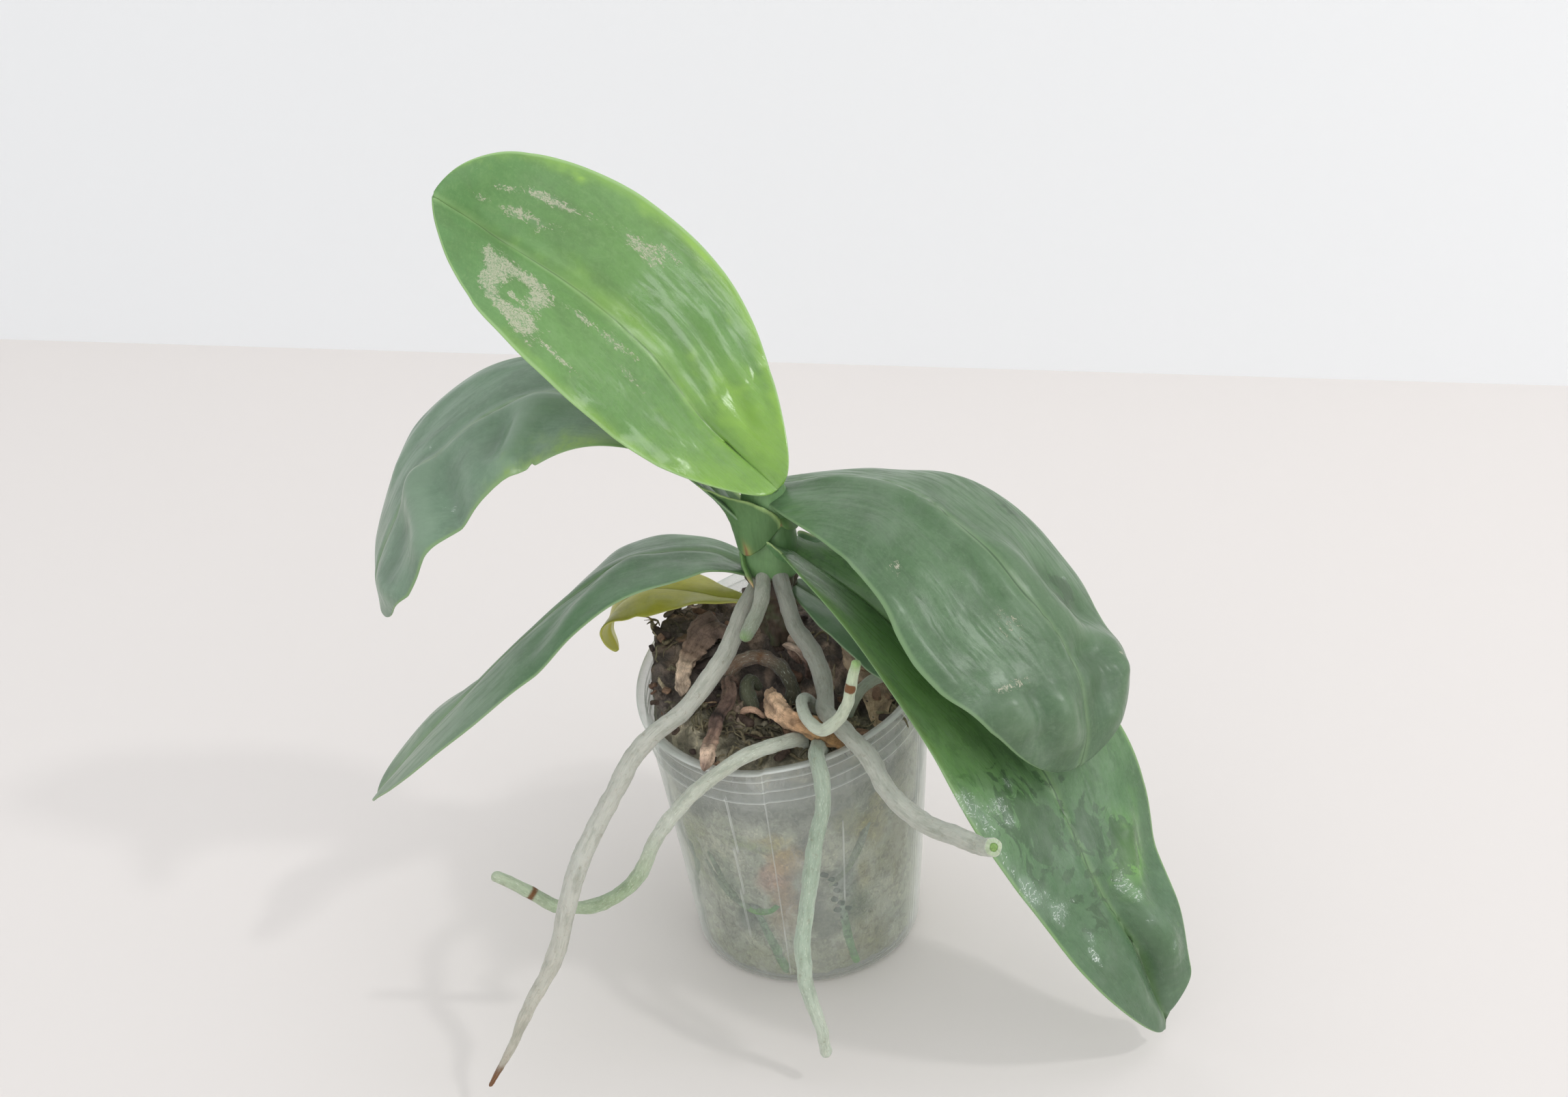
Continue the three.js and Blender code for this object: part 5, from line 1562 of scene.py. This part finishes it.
def drawn_line(draw, front, steps, strides, bend):
    """A line over the mound that turns a little at each step."""
    x, y = mound_spot(draw, front)
    heading = draw.uniform(0, FULL_TURN)
    stride = draw.uniform(*strides)
    line = []
    for _ in range(steps):
        line.append((x, y, mound_height(x, y) + draw.uniform(-0.2, 1.8)))
        heading += draw.normal(0, bend)
        x += stride * math.cos(heading)
        y += stride * math.sin(heading)
    return np.array(line)


def bark_parts(draw):
    """Chips of bark all over the mound, and crumbs down its left edge."""
    parts = []
    for _ in range(BARK_CHIPS):
        x, y = mound_spot(draw, 0.2)
        size = drawn(draw, (1.6, 5), (1.2, 3), (0.6, 1.5))
        turn = (draw.uniform(0, FULL_TURN), draw.normal(0, 0.35), draw.normal(0, 0.35))
        middle = np.array([x, y, mound_height(x, y) + 1.3])
        parts.append(chip_part(middle, size, turn, drawn_tint(draw, BARK)))
    for _ in range(EDGE_CRUMBS):
        edge = math.radians(draw.uniform(110, 250))
        x, y = soften(NECK_RADIUS - draw.uniform(2, 6), edge, POT_HEIGHT)[:2]
        middle = np.array([x, y, mound_height(x, y) - draw.uniform(0.5, 5)])
        size = drawn(draw, (0.7, 2), (0.6, 1.4), (0.4, 1.2))
        parts.append(chip_part(middle, size, draw.uniform(0, FULL_TURN, 3), drawn_tint(draw, BARK)))
    return parts


def strand_parts(draw):
    """Flat dry shreds and thin strands of moss that lie on the mound."""
    parts = []
    for _ in range(DRY_SHREDS):
        line = drawn_line(draw, 0.35, 5, (1.5, 3.5), 0.5)
        tint = drawn_tint(draw, SHREDS)
        parts.append(tube_part(line, (0.3, 0.9, 0.7, 0.2), 7, 0.8, (tint, tint * 0.7), 0.4))
    for _ in range(MOSS_STRANDS):
        line = drawn_line(draw, 0.75, 6, (0.9, 2.2), 0.8)
        tint = drawn_tint(draw, MOSS)
        radii = draw.uniform(0.25, 0.9) * np.array((0.5, 1, 0.8, 0.3))
        parts.append(tube_part(line, radii, 6, 0.9, (tint, tint * 0.8)))
    return parts


def drawn_wall_root(draw):
    """One more root against the wall, at a side or the back, written like those in WALL_ROOTS."""
    angle, z = draw.uniform(-40, 215), draw.uniform(20, 100)
    lean = draw.normal(0, 14)
    line = []
    for _ in range(5):
        line.append((angle, max(z, 4)))
        angle += lean * 0.5
        lean += draw.normal(0, 5)
        z -= draw.uniform(3, 13)
    green = draw.uniform(0, 1)
    colour = np.array((150, 160, 142)) * (1 - green) + np.array((110, 150, 92)) * green
    return draw.uniform(1.2, 2.2), colour, colour * 0.85, line


def wall_parts(draw):
    """Roots flattened against the inside of the wall, and small dark growths on one of them."""
    parts = []
    for radius, first, last, line in WALL_ROOTS + [drawn_wall_root(draw) for _ in range(DRAWN_WALL_ROOTS)]:
        angle, z = np.array(line, float).T
        path = near_wall(np.radians(angle), z, 0.15 + radius)
        radii = (radius * 0.7, radius, radius, radius * 0.8)
        parts.append(tube_part(path, radii, 9, 1.0, (tint_of(first), tint_of(last))))
    for angle, z in DARK_DOTS:
        middle = near_wall(math.radians(angle), z, 1.1)
        turn = (math.radians(angle + 90), 0, 0.6)
        parts.append(chip_part(middle, (1.5, 0.6, 1.0), turn, tint_of(DARK_GROWTH)))
    return parts


def ball_part():
    draw = np.random.default_rng(5)
    return join_parts([block_part(BLOCK_SIDES), *bark_parts(draw), *strand_parts(draw), *wall_parts(draw)])


def soil_material():
    s = Shader("soil")
    soil = s.field("soil")
    tint = s.field("tint")
    shade = s.stretch(tint, 0.47, 0.47, 0.47)
    shine = s.stretch(tint, 1.7, 1.68, 1.6)
    clumps = s.noise(soil, 2.4, 8, 0.7, 0.4)
    threads = s.noise(s.stretch(soil, 1, 1, 0.6), 5.5, 7, 0.75, 1.4)
    skin = s.layered(
        tint,
        (clumps, 0.38, 0.54, 0.75, 0, shade),
        (threads, 0.5, 0.66, 0, 0.65, shine),
        (threads, 0.34, 0.46, 0.6, 0, shade),
        (s.cells(soil, 9), 0.08, 0.28, 0.5, 0, shade),
    )
    normal = s.bump(threads, 0.0012, 0.7, s.bump(clumps, 0.003, 0.6))
    s.set(Base_Color=skin, Roughness=s.span(clumps, 0.3, 0.7, 0.75, 0.95), Normal=normal)
    s.set(Specular_IOR_Level=0.25)
    return s.material


# Stage, light and camera


STAGE_REACH = 4.0
FLOOR_PAINT = (235, 229, 225)
WALL_PAINT = (245, 246, 247)
ROOM_LIGHT = (0.96, 0.98, 1, 1)
ROOM_STRENGTH = 0.94
# The lights look at a place inside the plant, in metres
LIT_PLACE = (0, 0, 0.15)


def add_stage():
    """A wide floor and a wall behind it; the foot of the wall runs away to the left."""
    turn = math.radians(WALL_TURN)
    along = np.array([math.cos(turn), math.sin(turn), 0]) * STAGE_REACH
    forward = np.array([math.sin(turn), -math.cos(turn), 0]) * STAGE_REACH
    up = np.array([0, 0, STAGE_REACH])
    foot = np.array([*WALL_FOOT, 0]) * MM
    left, right = foot - along, foot + along
    sheets = [
        ("floor", [left, left + forward, right + forward, right], FLOOR_PAINT),
        ("wall", [left, right, right + up, left + up], WALL_PAINT),
    ]
    for name, corners, colour in sheets:
        mesh = bpy.data.meshes.new(name)
        mesh.from_pydata(corners, [], [(0, 1, 2, 3)])
        s = Shader(name + "_paint")
        s.set(Base_Color=linear(colour), Roughness=0.7)
        mesh.materials.append(s.material)
        piece = add_object(name, mesh)


def look_at(made, target, azimuth, elevation, distance, roll=0.0):
    """Put a light or camera at a distance from a target, looking at it. Metres and degrees."""
    az, el, roll = np.radians((azimuth, elevation, roll))
    back = np.array([math.cos(el) * math.cos(az), math.cos(el) * math.sin(az), math.sin(el)])
    right = unit(np.cross((0, 0, 1), back))
    up = np.cross(back, right)
    rolled_right = math.cos(roll) * right + math.sin(roll) * up
    rolled_up = math.cos(roll) * up - math.sin(roll) * right
    columns = [rolled_right, rolled_up, back, np.asarray(target) + back * distance]
    made.matrix_world = Matrix([*np.stack(columns, axis=1).tolist(), (0, 0, 0, 1)])


def add_light(name, azimuth, elevation, distance, size, power, lights=True, glare=True):
    """An area light that looks at the plant. It can light only, or only be mirrored in what shines."""
    light = bpy.data.lights.new(name, "AREA")
    light.shape = "RECTANGLE"
    light.size, light.size_y = size
    light.energy = power
    made = add_object(name, light)
    made.visible_diffuse = lights
    made.visible_glossy = glare
    look_at(made, LIT_PLACE, azimuth, elevation, distance)


def add_lights():
    world = bpy.data.worlds.new("room")
    world.use_nodes = True
    background = world.node_tree.nodes["Background"]
    background.inputs["Color"].default_value = ROOM_LIGHT
    background.inputs["Strength"].default_value = ROOM_STRENGTH
    bpy.context.scene.world = world
    add_light("window", -27, 47, 3.4, (0.2, 0.2), 15, glare=False)
    add_light("panel", -40, 17, 3.4, (2.4, 0.8), 15)
    add_light("skylight", -30, 45, 3.0, (0.9, 0.9), 20, lights=False)
    add_light("lamp", 72, 62, 3.0, (0.3, 0.3), 3.6, glare=False)


def add_camera():
    data = bpy.data.cameras.new("camera")
    data.sensor_width = SENSOR_MM
    data.lens = FOCAL_PIXELS / IMAGE_WIDTH * SENSOR_MM
    data.clip_start = 0.01
    camera = add_object("camera", data)
    target = np.array(CAMERA_TARGET) * MM
    look_at(camera, target, CAMERA_AZIMUTH, CAMERA_ELEVATION, CAMERA_DISTANCE * MM, CAMERA_ROLL)
    bpy.context.scene.camera = camera


# Assembly


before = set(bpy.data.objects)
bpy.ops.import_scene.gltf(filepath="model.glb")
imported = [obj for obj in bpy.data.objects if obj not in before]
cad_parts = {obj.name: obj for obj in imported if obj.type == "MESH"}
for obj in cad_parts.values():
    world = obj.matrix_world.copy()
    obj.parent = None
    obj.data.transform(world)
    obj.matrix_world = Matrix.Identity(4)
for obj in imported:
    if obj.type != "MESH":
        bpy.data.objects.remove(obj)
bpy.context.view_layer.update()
bpy.context.scene.view_settings.view_transform = "Standard"

add_camera()
add_lights()
add_stage()
for leaf_name, one_leaf in LEAVES.items():
    add_piece(leaf_name + "_blade", leaf_name, leaf_part(one_leaf), LeafSkin(leaf_name).material)
skin_of_roots = root_material()
for root_name in ROOTS:
    add_piece(root_name + "_skin", root_name, root_part(root_name), skin_of_roots)
paper = dry_material()
for dry_name, one_strip in DRY_PIECES.items():
    add_piece(dry_name + "_strip", dry_name, dry_part(one_strip), paper)
add_piece("stem_core", "stem", join_parts([core_part(), *map(sheath_part, SHEATHS)]), stem_material())
add_piece("pot_shell", "pot", pot_part(), pot_material())
add_piece("root_ball_block", "root_ball", ball_part(), soil_material())
